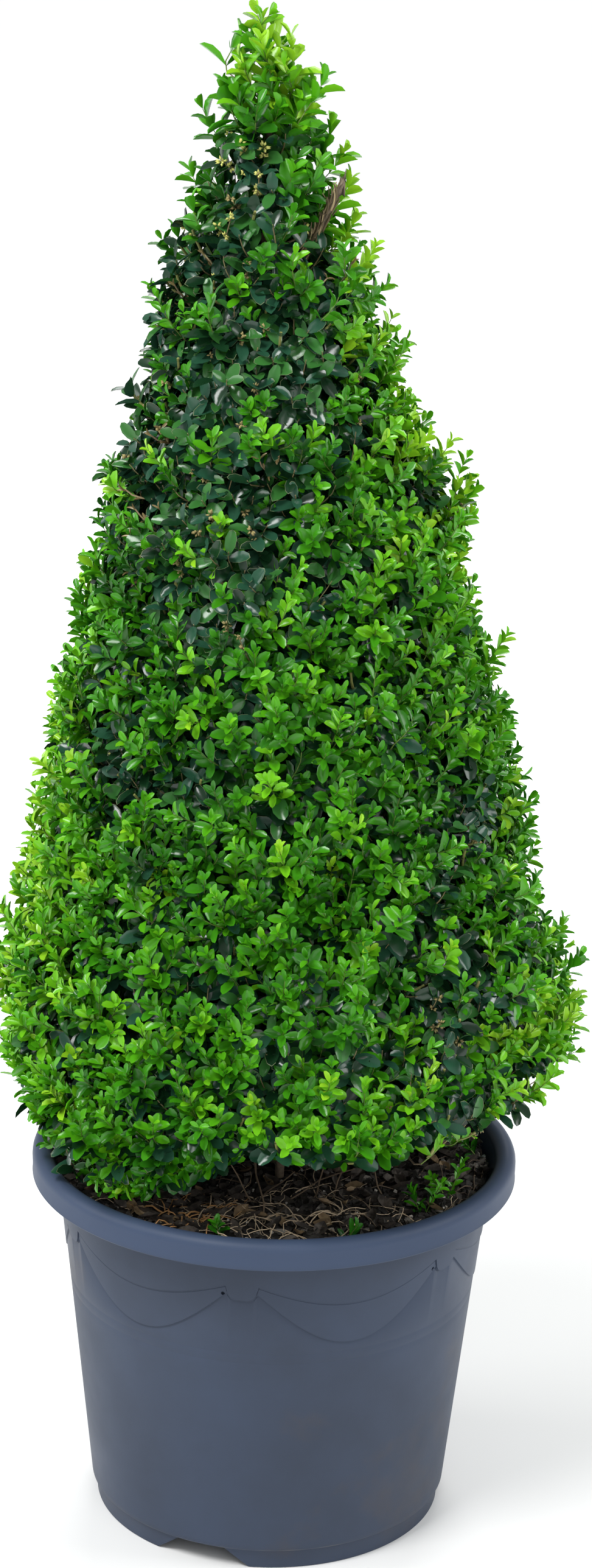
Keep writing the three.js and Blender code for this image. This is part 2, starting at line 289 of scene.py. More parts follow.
def hang_lamp(name, place, size, power, aim):
    """A square lamp that faces the point it is aimed at."""
    light = bpy.data.lights.new(name, "AREA")
    light.size = size
    light.energy = power
    holder = bpy.data.objects.new(name, light)
    holder.location = place
    holder.rotation_euler = (Vector(aim) - holder.location).to_track_quat("-Z", "Y").to_euler()
    bpy.context.collection.objects.link(holder)


for lamp in LAMPS:
    hang_lamp(**lamp, aim=(cad_low + cad_high) / 2)
print(len(LAMPS), "lamps")

# %% [markdown]
# ## Finishes that several pieces share
# Plastic, bark and soil are never one even tone. Node groups carry what they share: `mottle` mixes a light
# and a dark tone by a cloudy pattern, `grain` turns a fine pattern into a bump, and `painted_edge_highlight`
# paints a pale line round an edge at a height, a painted highlight broken up by noise. All read the object's
# own coordinates, so the pattern stays put on the piece from every side.

# %% Shader groups
CLOUDS = {"Detail": 6.0, "Roughness": 0.6}
# How the painted edge highlights are broken up along their length.
HIGHLIGHT_BREAKS = {"scale": 34.0, "detail": 3.0, "low": 0.42, "high": 0.62}


def new_group(name, inputs, outputs):
    group = bpy.data.node_groups.new(name, "ShaderNodeTree")
    for key, kind in inputs.items():
        group.interface.new_socket(key, in_out="INPUT", socket_type=f"NodeSocket{kind}")
    for key, kind in outputs.items():
        group.interface.new_socket(key, in_out="OUTPUT", socket_type=f"NodeSocket{kind}")
    return group, group.nodes.new("NodeGroupInput").outputs, group.nodes.new("NodeGroupOutput").inputs


mottle, given, result = new_group(
    "mottle", {"Light": "Color", "Dark": "Color", "Scale": "Float", "Low": "Float", "High": "Float"},
    {"Color": "Color", "Mask": "Float"},
)
own_place = wire(mottle, "ShaderNodeTexCoord").outputs["Object"]
cloud = wire(mottle, "ShaderNodeTexNoise", Vector=own_place, Scale=given["Scale"], **CLOUDS)
mask = wire(
    mottle, "ShaderNodeMapRange", Value=cloud.outputs["Fac"], From_Min=given["Low"], From_Max=given["High"]
)
tones = wire(
    mottle, "ShaderNodeMix", {"data_type": "RGBA"}, Factor=mask.outputs["Result"], A=given["Light"],
    B=given["Dark"],
)
mottle.links.new(tones.outputs[2], result["Color"])
mottle.links.new(mask.outputs["Result"], result["Mask"])

grain, given, result = new_group(
    "grain", {"Scale": "Float", "Stretch": "Vector", "Depth": "Float"}, {"Normal": "Vector", "Mask": "Float"}
)
own_place = wire(grain, "ShaderNodeTexCoord").outputs["Object"]
drawn_out = wire(
    grain, "ShaderNodeVectorMath", {"operation": "MULTIPLY"}, Vector=own_place, Vector_001=given["Stretch"]
)
fine = wire(grain, "ShaderNodeTexNoise", Vector=drawn_out.outputs["Vector"], Scale=given["Scale"], Detail=5.0)
bump = wire(grain, "ShaderNodeBump", Height=fine.outputs["Fac"], Distance=given["Depth"])
grain.links.new(bump.outputs["Normal"], result["Normal"])
grain.links.new(fine.outputs["Fac"], result["Mask"])

# A painted highlight: a pale line at one height, broken up by noise, for light caught by an edge.
painted_edge_highlight, given, result = new_group(
    "painted_edge_highlight", {"Color": "Color", "Worn": "Color", "Level": "Float", "Width": "Float"}, {"Color": "Color"}
)
own_place = wire(painted_edge_highlight, "ShaderNodeTexCoord").outputs["Object"]
height = wire(painted_edge_highlight, "ShaderNodeSeparateXYZ", Vector=own_place).outputs["Z"]
off = wire(painted_edge_highlight, "ShaderNodeMath", {"operation": "SUBTRACT"}, Value=height, Value_001=given["Level"])
far = wire(painted_edge_highlight, "ShaderNodeMath", {"operation": "ABSOLUTE"}, Value=off.outputs["Value"])
near = wire(
    painted_edge_highlight, "ShaderNodeMapRange", Value=far.outputs["Value"], From_Max=given["Width"], To_Min=1.0, To_Max=0.0
)
patchy = wire(painted_edge_highlight, "ShaderNodeTexNoise", Vector=own_place, Scale=HIGHLIGHT_BREAKS["scale"], Detail=HIGHLIGHT_BREAKS["detail"])
broken = wire(
    painted_edge_highlight, "ShaderNodeMapRange", Value=patchy.outputs["Fac"], From_Min=HIGHLIGHT_BREAKS["low"], From_Max=HIGHLIGHT_BREAKS["high"]
)
both = wire(
    painted_edge_highlight, "ShaderNodeMath", {"operation": "MULTIPLY"}, Value=near.outputs["Result"],
    Value_001=broken.outputs["Result"],
)
highlit = wire(
    painted_edge_highlight, "ShaderNodeMix", {"data_type": "RGBA"}, Factor=both.outputs["Value"], A=given["Color"],
    B=given["Worn"],
)
painted_edge_highlight.links.new(highlit.outputs[2], result["Color"])


def place_group(tree, group, **values):
    node = tree.nodes.new("ShaderNodeGroup")
    node.node_tree = group
    for key, value in values.items():
        node.inputs[key].default_value = value
    return node


def coated_material(name, light, dark, mottling, graining, roughness, gloss=0.5):
    """A material with a mottled tone, a grained surface, and a roughness that follows the mottling."""
    material = plain_material(name, light, roughness[0], gloss)
    tree = material.node_tree
    shader = tree.nodes["Principled BSDF"]
    tone = place_group(tree, mottle, Light=(*light, 1.0), Dark=(*dark, 1.0), **mottling)
    relief = place_group(tree, grain, **graining)
    rougher = wire(
        tree, "ShaderNodeMapRange", Value=tone.outputs["Mask"], To_Min=roughness[0], To_Max=roughness[1]
    )
    tree.links.new(tone.outputs["Color"], shader.inputs["Base Color"])
    tree.links.new(rougher.outputs["Result"], shader.inputs["Roughness"])
    tree.links.new(relief.outputs["Normal"], shader.inputs["Normal"])
    return material


print("groups:", [group.name for group in (mottle, grain, painted_edge_highlight)])

# %% [markdown]
# ## The pot
# The pot is injection moulded: one wall with a draft, a ledge over the foot ring, and a rim rolled into a
# half round with an apron. Under the rim a drape is moulded in two steps. Each sixth of the way round, its
# two lines meet at a small tab, with a pin hole beside it. A lathe turns the section, but the rows of
# the wall follow the drape, so that its steps are crisp. Holes, notches and lugs are cut and joined after.

# %% Lines of the drape
POT_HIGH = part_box("pot")[1]
RIM = {"radius": POT_HIGH.x - 9 * MM, "height": POT_HIGH.z - 9 * MM, "bead": 9 * MM, "wall": 3 * MM}
WALL = {"foot": 156.6 * MM, "foot_height": 20 * MM, "neck": 187 * MM, "neck_height": 307 * MM}
FLOOR_TOP = 22 * MM
FLOOR_UNDER = 18 * MM
FOOT = {"radius": 151.7 * MM, "top": 152.5 * MM, "wall": 3 * MM}
DRAPE = {"repeats": 6, "first": -7.5, "top": 281, "sag": 19, "low_top": 273, "low_sag": 49, "step": 0.9}
GROOVE = 0.32  # millimetres deep, under both lines
TAB = {"half_turn": 4.1, "drop": 14, "margin": 1.15, "least_gap": 0.9}
MOULD_LINES = [206, 215]
PLAIN_ROWS = [24, 60, 100, 140, 175, 198]
NECK_ROWS = [288, 297]
MIDDLE_RING = 0.4 * FOOT["radius"]
FINE_STEPS, WIDE_STEPS = 26, 34


def drape_angles():
    """Angles round the pot, closer together across the tabs."""
    repeat = 360.0 / DRAPE["repeats"]
    margin = TAB["margin"] * TAB["half_turn"]
    across = np.linspace(-margin, margin, FINE_STEPS, endpoint=False)
    between = np.linspace(margin, repeat - margin, WIDE_STEPS, endpoint=False)
    one = np.concatenate([across, between])
    starts = DRAPE["first"] + repeat * np.arange(DRAPE["repeats"])
    return (starts[:, None] + one[None, :]).ravel()


def drape_lines(angles):
    """Heights in millimetres of the drape's upper and lower line."""
    repeat = 360.0 / DRAPE["repeats"]
    off = (angles - DRAPE["first"] + repeat / 2) % repeat - repeat / 2
    tab = TAB["half_turn"]
    share = np.clip((np.abs(off) - tab) / (repeat / 2 - tab), 0.0, 1.0)
    sag = np.sin(0.5 * math.pi * share)
    across = np.clip(np.abs(off) / tab, 0.0, 1.0)
    drop = TAB["drop"] * (1.0 - across ** 4) ** 0.5
    upper = DRAPE["top"] - DRAPE["sag"] * sag - drop
    lower = DRAPE["low_top"] - DRAPE["low_sag"] * sag
    return upper, np.minimum(lower, upper - TAB["least_gap"])


angles = drape_angles()
upper, lower = drape_lines(angles)
print(len(angles), "columns; drape from", upper.max().round(), "down to", lower.min().round(), "mm")

# %% Rows of the pot
def wall_radius(heights):
    share = (heights - WALL["foot_height"]) / (WALL["neck_height"] - WALL["foot_height"])
    return WALL["foot"] + share * (WALL["neck"] - WALL["foot"])


def level_rows(places):
    """Rows that are level all the way round, from pairs of a radius and a height."""
    return [(np.full(len(angles), radius), np.full(len(angles), height)) for radius, height in places]


def wall_row(heights, proud):
    heights = heights * MM
    return wall_radius(heights) + proud * MM, heights


def arc_rows(centre, height, radius, start, stop, steps):
    turns = np.radians(np.linspace(start, stop, steps))
    return level_rows([
        (centre + radius * math.cos(turn), height + radius * math.sin(turn)) for turn in turns
    ])


def drape_rows():
    """Up the wall: plain rows with two moulded lines, then the drape's two steps."""
    plain = np.zeros(len(angles))
    step = DRAPE["step"]
    line_section = [(-1.2, 0), (-0.4, -0.2), (0.5, 0)]
    low_section = [(-2.6, 0), (-1.9, -GROOVE), (-0.6, -GROOVE), (0, step), (1.5, step)]
    high_section = [(1.0, step), (0.8, step - GROOVE), (0.25, step - GROOVE)]
    rows = [wall_row(plain + height, 0.0) for height in PLAIN_ROWS]
    for line in MOULD_LINES:
        rows += [wall_row(plain + line + off, proud) for off, proud in line_section]
    rows += [wall_row(lower + off, proud) for off, proud in low_section]
    for share in (0.3, 0.6):
        rows.append(wall_row(lower + 1.5 + share * (upper - lower - 3.0).clip(0), step))
    between = np.minimum(2.2, (upper - lower) * 0.6)
    rows += [wall_row(upper - between * part, proud) for part, proud in high_section]
    rows += [wall_row(upper + off, 2 * step) for off in (0, 1.5)]
    rows += [wall_row(np.maximum(upper + 3.0, height), 2 * step) for height in NECK_ROWS]
    return rows


print("row makers ready")

# %% The pot's section, from its underside round the rim to its floor
bead = (RIM["radius"], RIM["height"], RIM["bead"])
inner_bead = (RIM["radius"], RIM["height"], RIM["bead"] - RIM["wall"])
apron = WALL["neck_height"]
rim_edge = RIM["radius"] + RIM["bead"]
foot_edge, foot_inside = FOOT["radius"], FOOT["radius"] - FOOT["wall"]
wall_inside = WALL["foot"] - RIM["wall"]
rows = level_rows([
    (MIDDLE_RING, FLOOR_UNDER), (foot_inside, FLOOR_UNDER), (foot_inside + 0.3 * MM, 0.8 * MM),
    (foot_inside + 1.0 * MM, 0.0), (foot_edge - 0.8 * MM, 0.0), (foot_edge, 0.8 * MM),
    (FOOT["top"], 16.5 * MM), (FOOT["top"] + 0.6 * MM, 17.6 * MM), (WALL["foot"] - 0.9 * MM, 18.6 * MM),
    (WALL["foot"], WALL["foot_height"]),
])
rows += drape_rows()
rows += level_rows([(WALL["neck"] + 2 * DRAPE["step"] * MM, apron - 1.0 * MM)])
rows += arc_rows(*inner_bead, 180, 0, 9)
rows += level_rows([
    (RIM["radius"] + inner_bead[2], apron + 0.6 * MM), (rim_edge - 0.6 * MM, apron),
    (rim_edge, apron + 0.9 * MM), (rim_edge - 0.35 * MM, apron + 2.2 * MM),
])
rows += arc_rows(*bead, 0, 180, 15)
rows += level_rows([
    (WALL["neck"] - RIM["wall"], apron), (wall_inside + 2 * MM, FLOOR_TOP + 4 * MM),
    (wall_inside - 2 * MM, FLOOR_TOP), (MIDDLE_RING, FLOOR_TOP),
])


def lathed(name, rows, angles):
    """A closed skin from rows of (radius, height) round the axis; angle 0 is the front."""
    turn = np.radians(angles)
    return skinned(name, np.array([
        np.stack([radius * np.sin(turn), -radius * np.cos(turn), height], axis=1) for radius, height in rows
    ]))


pot = piece_from("moulded_pot", lathed("moulded_pot", rows, angles))
print(len(rows), "rows,", len(pot.data.polygons), "faces")

# %% Tools for the holes, notches and lugs
DRAINS = {"count": 6, "ring": 112 * MM, "radius": 7 * MM, "depth": 20 * MM}
NOTCHES = {
    "angles": (-21.5, 98.5, -141.5), "head": 21 * MM, "foot": 43 * MM, "height": 17 * MM, "under": -2 * MM,
    "radius": 165 * MM, "depth": 50 * MM,
}
LUGS = {
    "angles": (82, -98), "width": 24 * MM, "height": 27 * MM, "proud": 5.5 * MM, "sunk": 2 * MM,
    "into_rim": 1.2 * MM, "rounding": 1.2 * MM,
}
PIN = {"turn": -5.0, "height": 272 * MM, "radius": 1.7 * MM, "depth": 2.2 * MM}
SLOT = {"turn": -12.0, "height": 285 * MM, "size": (3 * MM, 5 * MM, 7.5 * MM)}


def at_angle(angle, radius, height):
    """The place at an angle round the pot, turned so that local -Y points outwards."""
    return turn_about("Z", angle) @ Matrix.Translation((0.0, -radius, height))


def shaped(make, place, **sizes):
    """A primitive's object with its place applied to its mesh."""
    make(**sizes)
    tool = bpy.context.object
    tool.data.transform(place)
    return tool


def prism(name, outline, depth):
    """A closed block with an outline in X and Z, and a depth in Y from 0 inwards."""
    count = len(outline)
    places = [(x, y, z) for y in (0.0, depth) for x, z in outline]
    front = tuple(range(count))
    back = tuple(count + i for i in reversed(front))
    sides = [(count + i, count + (i + 1) % count, (i + 1) % count, i) for i in front]
    return piece_from(name, mesh_from(name, places, [front, back, *sides]))


def joined(tools):
    with bpy.context.temp_override(active_object=tools[0], selected_editable_objects=tools):
        bpy.ops.object.join()
    return tools[0]


def cut_or_add(body, tool, operation):
    """Applies a boolean with a closed tool to a body's mesh, and removes the tool."""
    modifier = body.modifiers.new("cut", "BOOLEAN")
    modifier.operation = operation
    modifier.solver = "EXACT"
    modifier.object = tool
    layers = bpy.context.evaluated_depsgraph_get()
    mesh = bpy.data.meshes.new_from_object(body.evaluated_get(layers), depsgraph=layers)
    body.modifiers.clear()
    body.data = mesh
    bpy.data.objects.remove(tool)


print("cutting tools ready")

# %% The holes, notches and lugs, cut and joined
drill, cube = bpy.ops.mesh.primitive_cylinder_add, bpy.ops.mesh.primitive_cube_add
drain_turn = 360.0 / DRAINS["count"]
cutters = []
for i in range(DRAINS["count"]):
    place = at_angle(drain_turn * (i + 0.5), DRAINS["ring"], FLOOR_TOP)
    cutters.append(shaped(drill, place, radius=DRAINS["radius"], depth=DRAINS["depth"], vertices=24))
head, tall, below = NOTCHES["head"], NOTCHES["height"], NOTCHES["under"]
wide = NOTCHES["foot"] - below * (NOTCHES["foot"] - head) / tall
notch = [(-wide, below), (wide, below), (head, tall), (-head, tall)]
for angle in NOTCHES["angles"]:
    cutter = prism("notch", notch, NOTCHES["depth"])
    cutter.data.transform(at_angle(angle, NOTCHES["radius"], 0.0))
    cutters.append(cutter)
for i in range(DRAPE["repeats"]):
    angle = DRAPE["first"] + i * 360.0 / DRAPE["repeats"] + PIN["turn"]
    place = at_angle(angle, wall_radius(PIN["height"]), PIN["height"]) @ turn_about("X", 90)
    cutters.append(shaped(drill, place, radius=PIN["radius"], depth=2 * PIN["depth"], vertices=12))
for angle in LUGS["angles"]:
    place = at_angle(angle + SLOT["turn"], wall_radius(SLOT["height"]), SLOT["height"])
    cutters.append(shaped(cube, place @ Matrix.Diagonal((*SLOT["size"], 1.0)), size=1.0))
cut_or_add(pot, joined(cutters), "DIFFERENCE")

lug_radius = WALL["neck"] + 0.5 * LUGS["proud"] - LUGS["sunk"]
lug_height = apron - 0.5 * LUGS["height"] + LUGS["into_rim"]
lug_size = (LUGS["width"], LUGS["proud"] + 2 * LUGS["sunk"], LUGS["height"] + 2 * LUGS["into_rim"], 1.0)
lug_blocks = []
for angle in LUGS["angles"]:
    block = shaped(cube, at_angle(angle, lug_radius, lug_height) @ Matrix.Diagonal(lug_size), size=1.0)
    rounding = block.modifiers.new("round", "BEVEL")
    rounding.width = LUGS["rounding"]
    rounding.segments = 2
    lug_blocks.append(block)
for block in lug_blocks:
    cut_or_add(pot, block, "UNION")
pot.data.set_sharp_from_angle(angle=math.radians(35))
smoothed(pot)
print("pot cut:", len(pot.data.polygons), "faces")

# %% Slate plastic
STAIN = {"Dark": (0.072, 0.064, 0.066, 1.0), "Scale": 5.5, "Low": 0.58, "High": 0.78}
# Painted highlights: pale, broken lines round the rim and round the foot ledge, where the edges catch light.
HIGHLIGHT_TONE = (0.13, 0.125, 0.125, 1.0)
HIGHLIGHT_EDGES = [(RIM["height"] - 0.6 * MM, 1.3 * MM), (18.2 * MM, 1.6 * MM)]
# Painted reflection: from a little under the rim upwards the plastic turns bluer, a painted reflection of the
# blue sky.
RIM_SKY_REFLECTION = {"color": (0.042, 0.061, 0.108, 1.0), "from": 24 * MM, "full": 10 * MM}
plastic = coated_material(
    "slate_plastic", (0.044, 0.060, 0.098), (0.039, 0.050, 0.076),
    {"Scale": 7.0, "Low": 0.35, "High": 0.7}, {"Scale": 900.0, "Stretch": (1.0, 1.0, 1.0), "Depth": 0.00006},
    (0.42, 0.56), 0.2,
)
tree = plastic.node_tree
base = tree.nodes["Principled BSDF"].inputs["Base Color"]
stain = place_group(tree, mottle, **STAIN)
tree.links.new(base.links[0].from_socket, stain.inputs["Light"])
last = stain.outputs["Color"]
# The two painted edge highlights, one after the other.
for level, width in HIGHLIGHT_EDGES:
    edge = place_group(tree, painted_edge_highlight, Worn=HIGHLIGHT_TONE, Level=level, Width=width)
    tree.links.new(last, edge.inputs["Color"])
    last = edge.outputs["Color"]
on_pot = wire(tree, "ShaderNodeTexCoord").outputs["Object"]
height = wire(tree, "ShaderNodeSeparateXYZ", Vector=on_pot).outputs["Z"]
# The painted sky reflection on the rim, mixed in by height.
rim_reflection_mask = wire(
    tree, "ShaderNodeMapRange", Value=height, From_Min=RIM["height"] - RIM_SKY_REFLECTION["from"],
    From_Max=RIM["height"] - RIM_SKY_REFLECTION["full"],
)
rim_painted_reflection = wire(
    tree, "ShaderNodeMix", {"data_type": "RGBA"}, Factor=rim_reflection_mask.outputs["Result"], A=last,
    B=RIM_SKY_REFLECTION["color"],
)
tree.links.new(rim_painted_reflection.outputs[2], base)
pot.data.materials.clear()
pot.data.materials.append(plastic)
settle(pot, "pot_plastic", "pot")

# %% [markdown]
# ## Soil and what lies on it
# Potting soil is dark, crumbly and a little lower at the wall. Its top is a grid of rings, raised and
# lowered by three sizes of noise. What lies on it makes it look real: crumbs, bark chips, dry box leaves
# and pale grit are strewn over it here, and rootlets, dead stalks and sprigs follow with the other wood.

# %% Soil bed
SOIL = {
    "level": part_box("potting_soil")[1].z, "radius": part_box("potting_soil")[1].x, "under": 0.24,
    "sunk": 2.0 * MM, "edge": 16 * MM, "edge_drop": 5.0 * MM,
}
RELIEF = [(14.0, 3.2), (42.0, 2.4), (120.0, 1.5)]
SOIL_COLUMNS, SOIL_ROWS = 300, 72


def soil_height(x, y):
    """The level of the soil's crumbly top at a place."""
    point = Vector((x, y, 0.0))
    high = SOIL["level"] - SOIL["sunk"]
    for scale, height in RELIEF:
        high += height * MM * noise.noise(point * scale)
    edge = max(0.0, math.hypot(x, y) - SOIL["radius"] + SOIL["edge"]) / SOIL["edge"]
    return high - SOIL["edge_drop"] * edge ** 2


def rooted(places, depth):
    """Feet on the soil at flat places in millimetres, each sunk into it by a depth."""
    return np.array([(x * MM, y * MM, soil_height(x * MM, y * MM) - depth) for x, y in places])


soil_turns = np.linspace(0.0, 2 * math.pi, SOIL_COLUMNS, endpoint=False)
soil_rings = SOIL["radius"] * np.linspace(0.01, 0.995, SOIL_ROWS)
soil_grid = np.array([
    [(r * math.cos(a), r * math.sin(a), soil_height(r * math.cos(a), r * math.sin(a))) for a in soil_turns]
    for r in soil_rings
])


def ring_of(radius, height):
    flat = [radius * np.cos(soil_turns), radius * np.sin(soil_turns)]
    return np.stack([*flat, np.full(SOIL_COLUMNS, height)], axis=1)


body_rows = [
    ring_of(SOIL["radius"] - 8 * MM, SOIL["under"]),
    ring_of(SOIL["radius"] - 2.5 * MM, SOIL["level"] - 14 * MM),
]
soil = piece_from("soil_bed", skinned("soil_bed", np.concatenate([body_rows, soil_grid[::-1]])))
smoothed(soil)
soil.data.materials.append(coated_material(
    "dark_soil", (0.020, 0.015, 0.011), (0.006, 0.0045, 0.0035),
    {"Scale": 60.0, "Low": 0.35, "High": 0.65}, {"Scale": 420.0, "Stretch": (1.0, 1.0, 1.0), "Depth": 0.0016},
    (0.85, 1.0),
))
settle(soil, "potting_soil", "potting_soil")
soil_top = skinned("soil_top", soil_grid[::-1], closed=False)
print("soil", (soil_grid[..., 2].min() / MM).round(), "to", (soil_grid[..., 2].max() / MM).round(), "mm high")

# %% A tree that strews things over a surface
strew, strew_in, strew_out = new_tree(
    "strew", Thing="NodeSocketObject", Finish="NodeSocketMaterial", Density="NodeSocketFloat",
    Seed="NodeSocketInt", Smallest="NodeSocketVector", Largest="NodeSocketVector", Tilt="NodeSocketFloat",
    Lift="NodeSocketFloat",
)
spots = wire(
    strew, "GeometryNodeDistributePointsOnFaces", Mesh=strew_in.outputs["Geometry"],
    Density=strew_in.outputs["Density"], Seed=strew_in.outputs["Seed"],
)
tilt = strew_in.outputs["Tilt"]
lean_most = wire(strew, "ShaderNodeCombineXYZ", X=tilt, Y=tilt, Z=math.pi)
lean_least = wire(
    strew, "ShaderNodeVectorMath", {"operation": "SCALE"}, Vector=lean_most.outputs["Vector"], Scale=-1.0
)
turns = wire(
    strew, "FunctionNodeRandomValue", {"data_type": "FLOAT_VECTOR"}, Min=lean_least.outputs["Vector"],
    Max=lean_most.outputs["Vector"], Seed=strew_in.outputs["Seed"],
)
scales = wire(
    strew, "FunctionNodeRandomValue", {"data_type": "FLOAT_VECTOR"}, Min=strew_in.outputs["Smallest"],
    Max=strew_in.outputs["Largest"], Seed=strew_in.outputs["Seed"],
)
raised = wire(strew, "ShaderNodeCombineXYZ", Z=strew_in.outputs["Lift"])
lifted = wire(
    strew, "GeometryNodeSetPosition", Geometry=spots.outputs["Points"], Offset=raised.outputs["Vector"]
)
thing = wire(strew, "GeometryNodeObjectInfo", Object=strew_in.outputs["Thing"])
strewn = wire(
    strew, "GeometryNodeInstanceOnPoints", Points=lifted.outputs["Geometry"],
    Instance=thing.outputs["Geometry"], Rotation=turns.outputs["Value"], Scale=scales.outputs["Value"],
)
single = wire(strew, "GeometryNodeRealizeInstances", Geometry=strewn.outputs["Instances"])
coated = wire(
    strew, "GeometryNodeSetMaterial", Geometry=single.outputs["Geometry"], Material=strew_in.outputs["Finish"]
)
strew.links.new(coated.outputs["Geometry"], strew_out.inputs["Geometry"])
print("strewing tree ready")

# %% Crumbs, chips, grit and dry leaves
def jagged_block(name, roughness, seed):
    """A small uneven block with a flat build, one unit across."""
    rng = np.random.default_rng(seed)
    corners = np.array([(x, y, z) for z in (-0.5, 0.5) for y in (-0.5, 0.5) for x in (-0.5, 0.5)])
    corners = corners + rng.uniform(-roughness, roughness, corners.shape)
    faces = [(0, 2, 3, 1), (4, 5, 7, 6), (0, 1, 5, 4), (2, 6, 7, 3), (0, 4, 6, 2), (1, 3, 7, 5)]
    return piece_from(name, mesh_from(name, corners, faces))


def curled_leaf(name, curl):
    """A dry leaf, one unit long, curled along its length and rolled at its sides."""
    stations = [(0.0, 0.03), (0.25, 0.3), (0.55, 0.36), (0.82, 0.22), (1.0, 0.02)]
    places = [
        (side * half, along - 0.5, curl * ((along - 0.5) ** 2 + (side * half) ** 2 * 2.5))
        for along, half in stations for side in (-1, 0, 1)
    ]
    faces = [
        (3 * row + side, 3 * row + side + 1, 3 * row + side + 4, 3 * row + side + 3)
        for row in range(4) for side in (0, 1)
    ]
    return piece_from(name, mesh_from(name, places, faces))


THINGS = {
    "crumb": jagged_block("crumb_blank", 0.22, 3),
    "chip": jagged_block("chip_blank", 0.2, 5),
    "leaf": curled_leaf("dry_leaf_blank", 0.9),
}
LITTER = [
    {"name": "soil_crumbs", "thing": "crumb", "density": 26000, "low": (2, 2, 1.5), "high": (6, 6, 5),
     "tones": ((0.020, 0.016, 0.012), (0.007, 0.0055, 0.0045)), "tilt": 1.2, "lift": 0.6},
    {"name": "bark_chips", "thing": "chip", "density": 3600, "low": (5, 3, 1.2), "high": (17, 9, 4),
     "tones": ((0.050, 0.042, 0.035), (0.013, 0.011, 0.009)), "tilt": 0.5, "lift": 1.2},
    {"name": "grey_chips", "thing": "chip", "density": 2000, "low": (4, 3, 1.2), "high": (11, 7, 3),
     "tones": ((0.21, 0.19, 0.165), (0.07, 0.060, 0.052)), "tilt": 0.5, "lift": 1.8},
    {"name": "pale_grit", "thing": "crumb", "density": 2600, "low": (1.2, 1.2, 1), "high": (3.4, 3, 2.4),
     "tones": ((0.50, 0.47, 0.42), (0.30, 0.27, 0.23)), "tilt": 1.2, "lift": 1.4},
    {"name": "brown_leaves", "thing": "leaf", "density": 1900, "low": (11, 13, 10), "high": (18, 23, 20),
     "tones": ((0.074, 0.058, 0.045), (0.023, 0.018, 0.014)), "tilt": 0.5, "lift": 2.6},
    {"name": "tan_leaves", "thing": "leaf", "density": 900, "low": (9, 12, 9), "high": (15, 20, 18),
     "tones": ((0.30, 0.21, 0.115), (0.16, 0.105, 0.055)), "tilt": 0.6, "lift": 3.4},
]
for number, litter in enumerate(LITTER):
    light, dark = litter["tones"]
    finish = coated_material(
        litter["name"], light, dark, {"Scale": 90.0, "Low": 0.4, "High": 0.6},
        {"Scale": 700.0, "Stretch": (1.0, 0.3, 1.0), "Depth": 0.0004}, (0.65, 0.9),
    )
    piece = grown(
        litter["name"], soil_top.copy(), strew, Thing=THINGS[litter["thing"]], Finish=finish,
        Density=float(litter["density"]), Seed=number + 3, Smallest=[size * MM for size in litter["low"]],
        Largest=[size * MM for size in litter["high"]], Tilt=litter["tilt"], Lift=litter["lift"] * MM,
    )
    settle(piece, "potting_soil")
for blank in THINGS.values():
    bpy.data.objects.remove(blank)

# %% [markdown]
# ## Reading the limbs and the masses
# The CAD limbs are stacks of level rings, so a ring's middle and width give a limb's line and thickness.
# The CAD masses are closed solids that fit together. Only the faces with open air in front of them are the
# skin of the plant; a short ray along the face's normal tells them from the joints between two masses.

# %% Lines of the limbs
LEVEL_STEP = 0.05 * MM
LIMBS = ["trunk"] + sorted(name for name in frame["nodes"] if name.startswith("stem_")) + ["upper_bough"]
MASSES = sorted(name for name in frame["nodes"] if name.startswith("foliage_"))


def corners_of(name):
    mesh = frame["nodes"][name].data
    places = np.empty(len(mesh.vertices) * 3, np.float32)
    mesh.vertices.foreach_get("co", places)
    return places.reshape(-1, 3).astype(float)


def limb_line(name):
    """The middle and the radius of each level ring of a limb, from its foot up."""
    places = np.unique(corners_of(name).round(6), axis=0)
    places = places[np.argsort(places[:, 2])]
    rings = np.split(places, np.flatnonzero(np.diff(places[:, 2]) > LEVEL_STEP) + 1)
    middles = np.array([ring.mean(0) for ring in rings])
    radii = np.array([np.linalg.norm(ring - middle, axis=1).max() for ring, middle in zip(rings, middles)])
    return middles, radii


limb_lines = {name: limb_line(name) for name in LIMBS}
for name, (middles, radii) in limb_lines.items():
    print(name, len(middles), "rings, radius", (radii[[0, -1]] / MM).round(1), "mm")

# %% Skin of the masses
OPEN_AIR = 0.04


def triangles_of(name):
    mesh = frame["nodes"][name].data
    mesh.calc_loop_triangles()
    index = np.empty(len(mesh.loop_triangles) * 3, np.int32)
    mesh.loop_triangles.foreach_get("vertices", index)
    return corners_of(name)[index].reshape(-1, 3, 3)


def cross_of(triangles):
    return np.cross(triangles[:, 1] - triangles[:, 0], triangles[:, 2] - triangles[:, 0])


def unit(vectors):
    return vectors / np.maximum(np.linalg.norm(vectors, axis=-1, keepdims=True), 1e-12)


masses = np.concatenate([triangles_of(name) for name in MASSES])
masses_tree = BVHTree.FromPolygons(
    masses.reshape(-1, 3).tolist(), np.arange(3 * len(masses)).reshape(-1, 3).tolist()
)
outward = unit(cross_of(masses))
in_air = [
    masses_tree.ray_cast(Vector(middle + 0.05 * MM * out), Vector(out), OPEN_AIR)[0] is None
    for middle, out in zip(masses.mean(1), outward)
]
skin = masses[in_air]
skin_area = np.linalg.norm(cross_of(skin), axis=1) / 2
print(f"{len(skin)} of {len(masses)} faces are skin, {skin_area.sum():.2f} square metres")

# %% [markdown]
# ## Bark on the limbs
# Box bark is thin and corky. It cracks along the wood, and on old boughs it peels away in strips. Each limb
# gets a skin of level rings that follow its line. Noise that is drawn out along the limb pushes the rings in
# and out, so ridges and cracks have real depth and also show against the light.

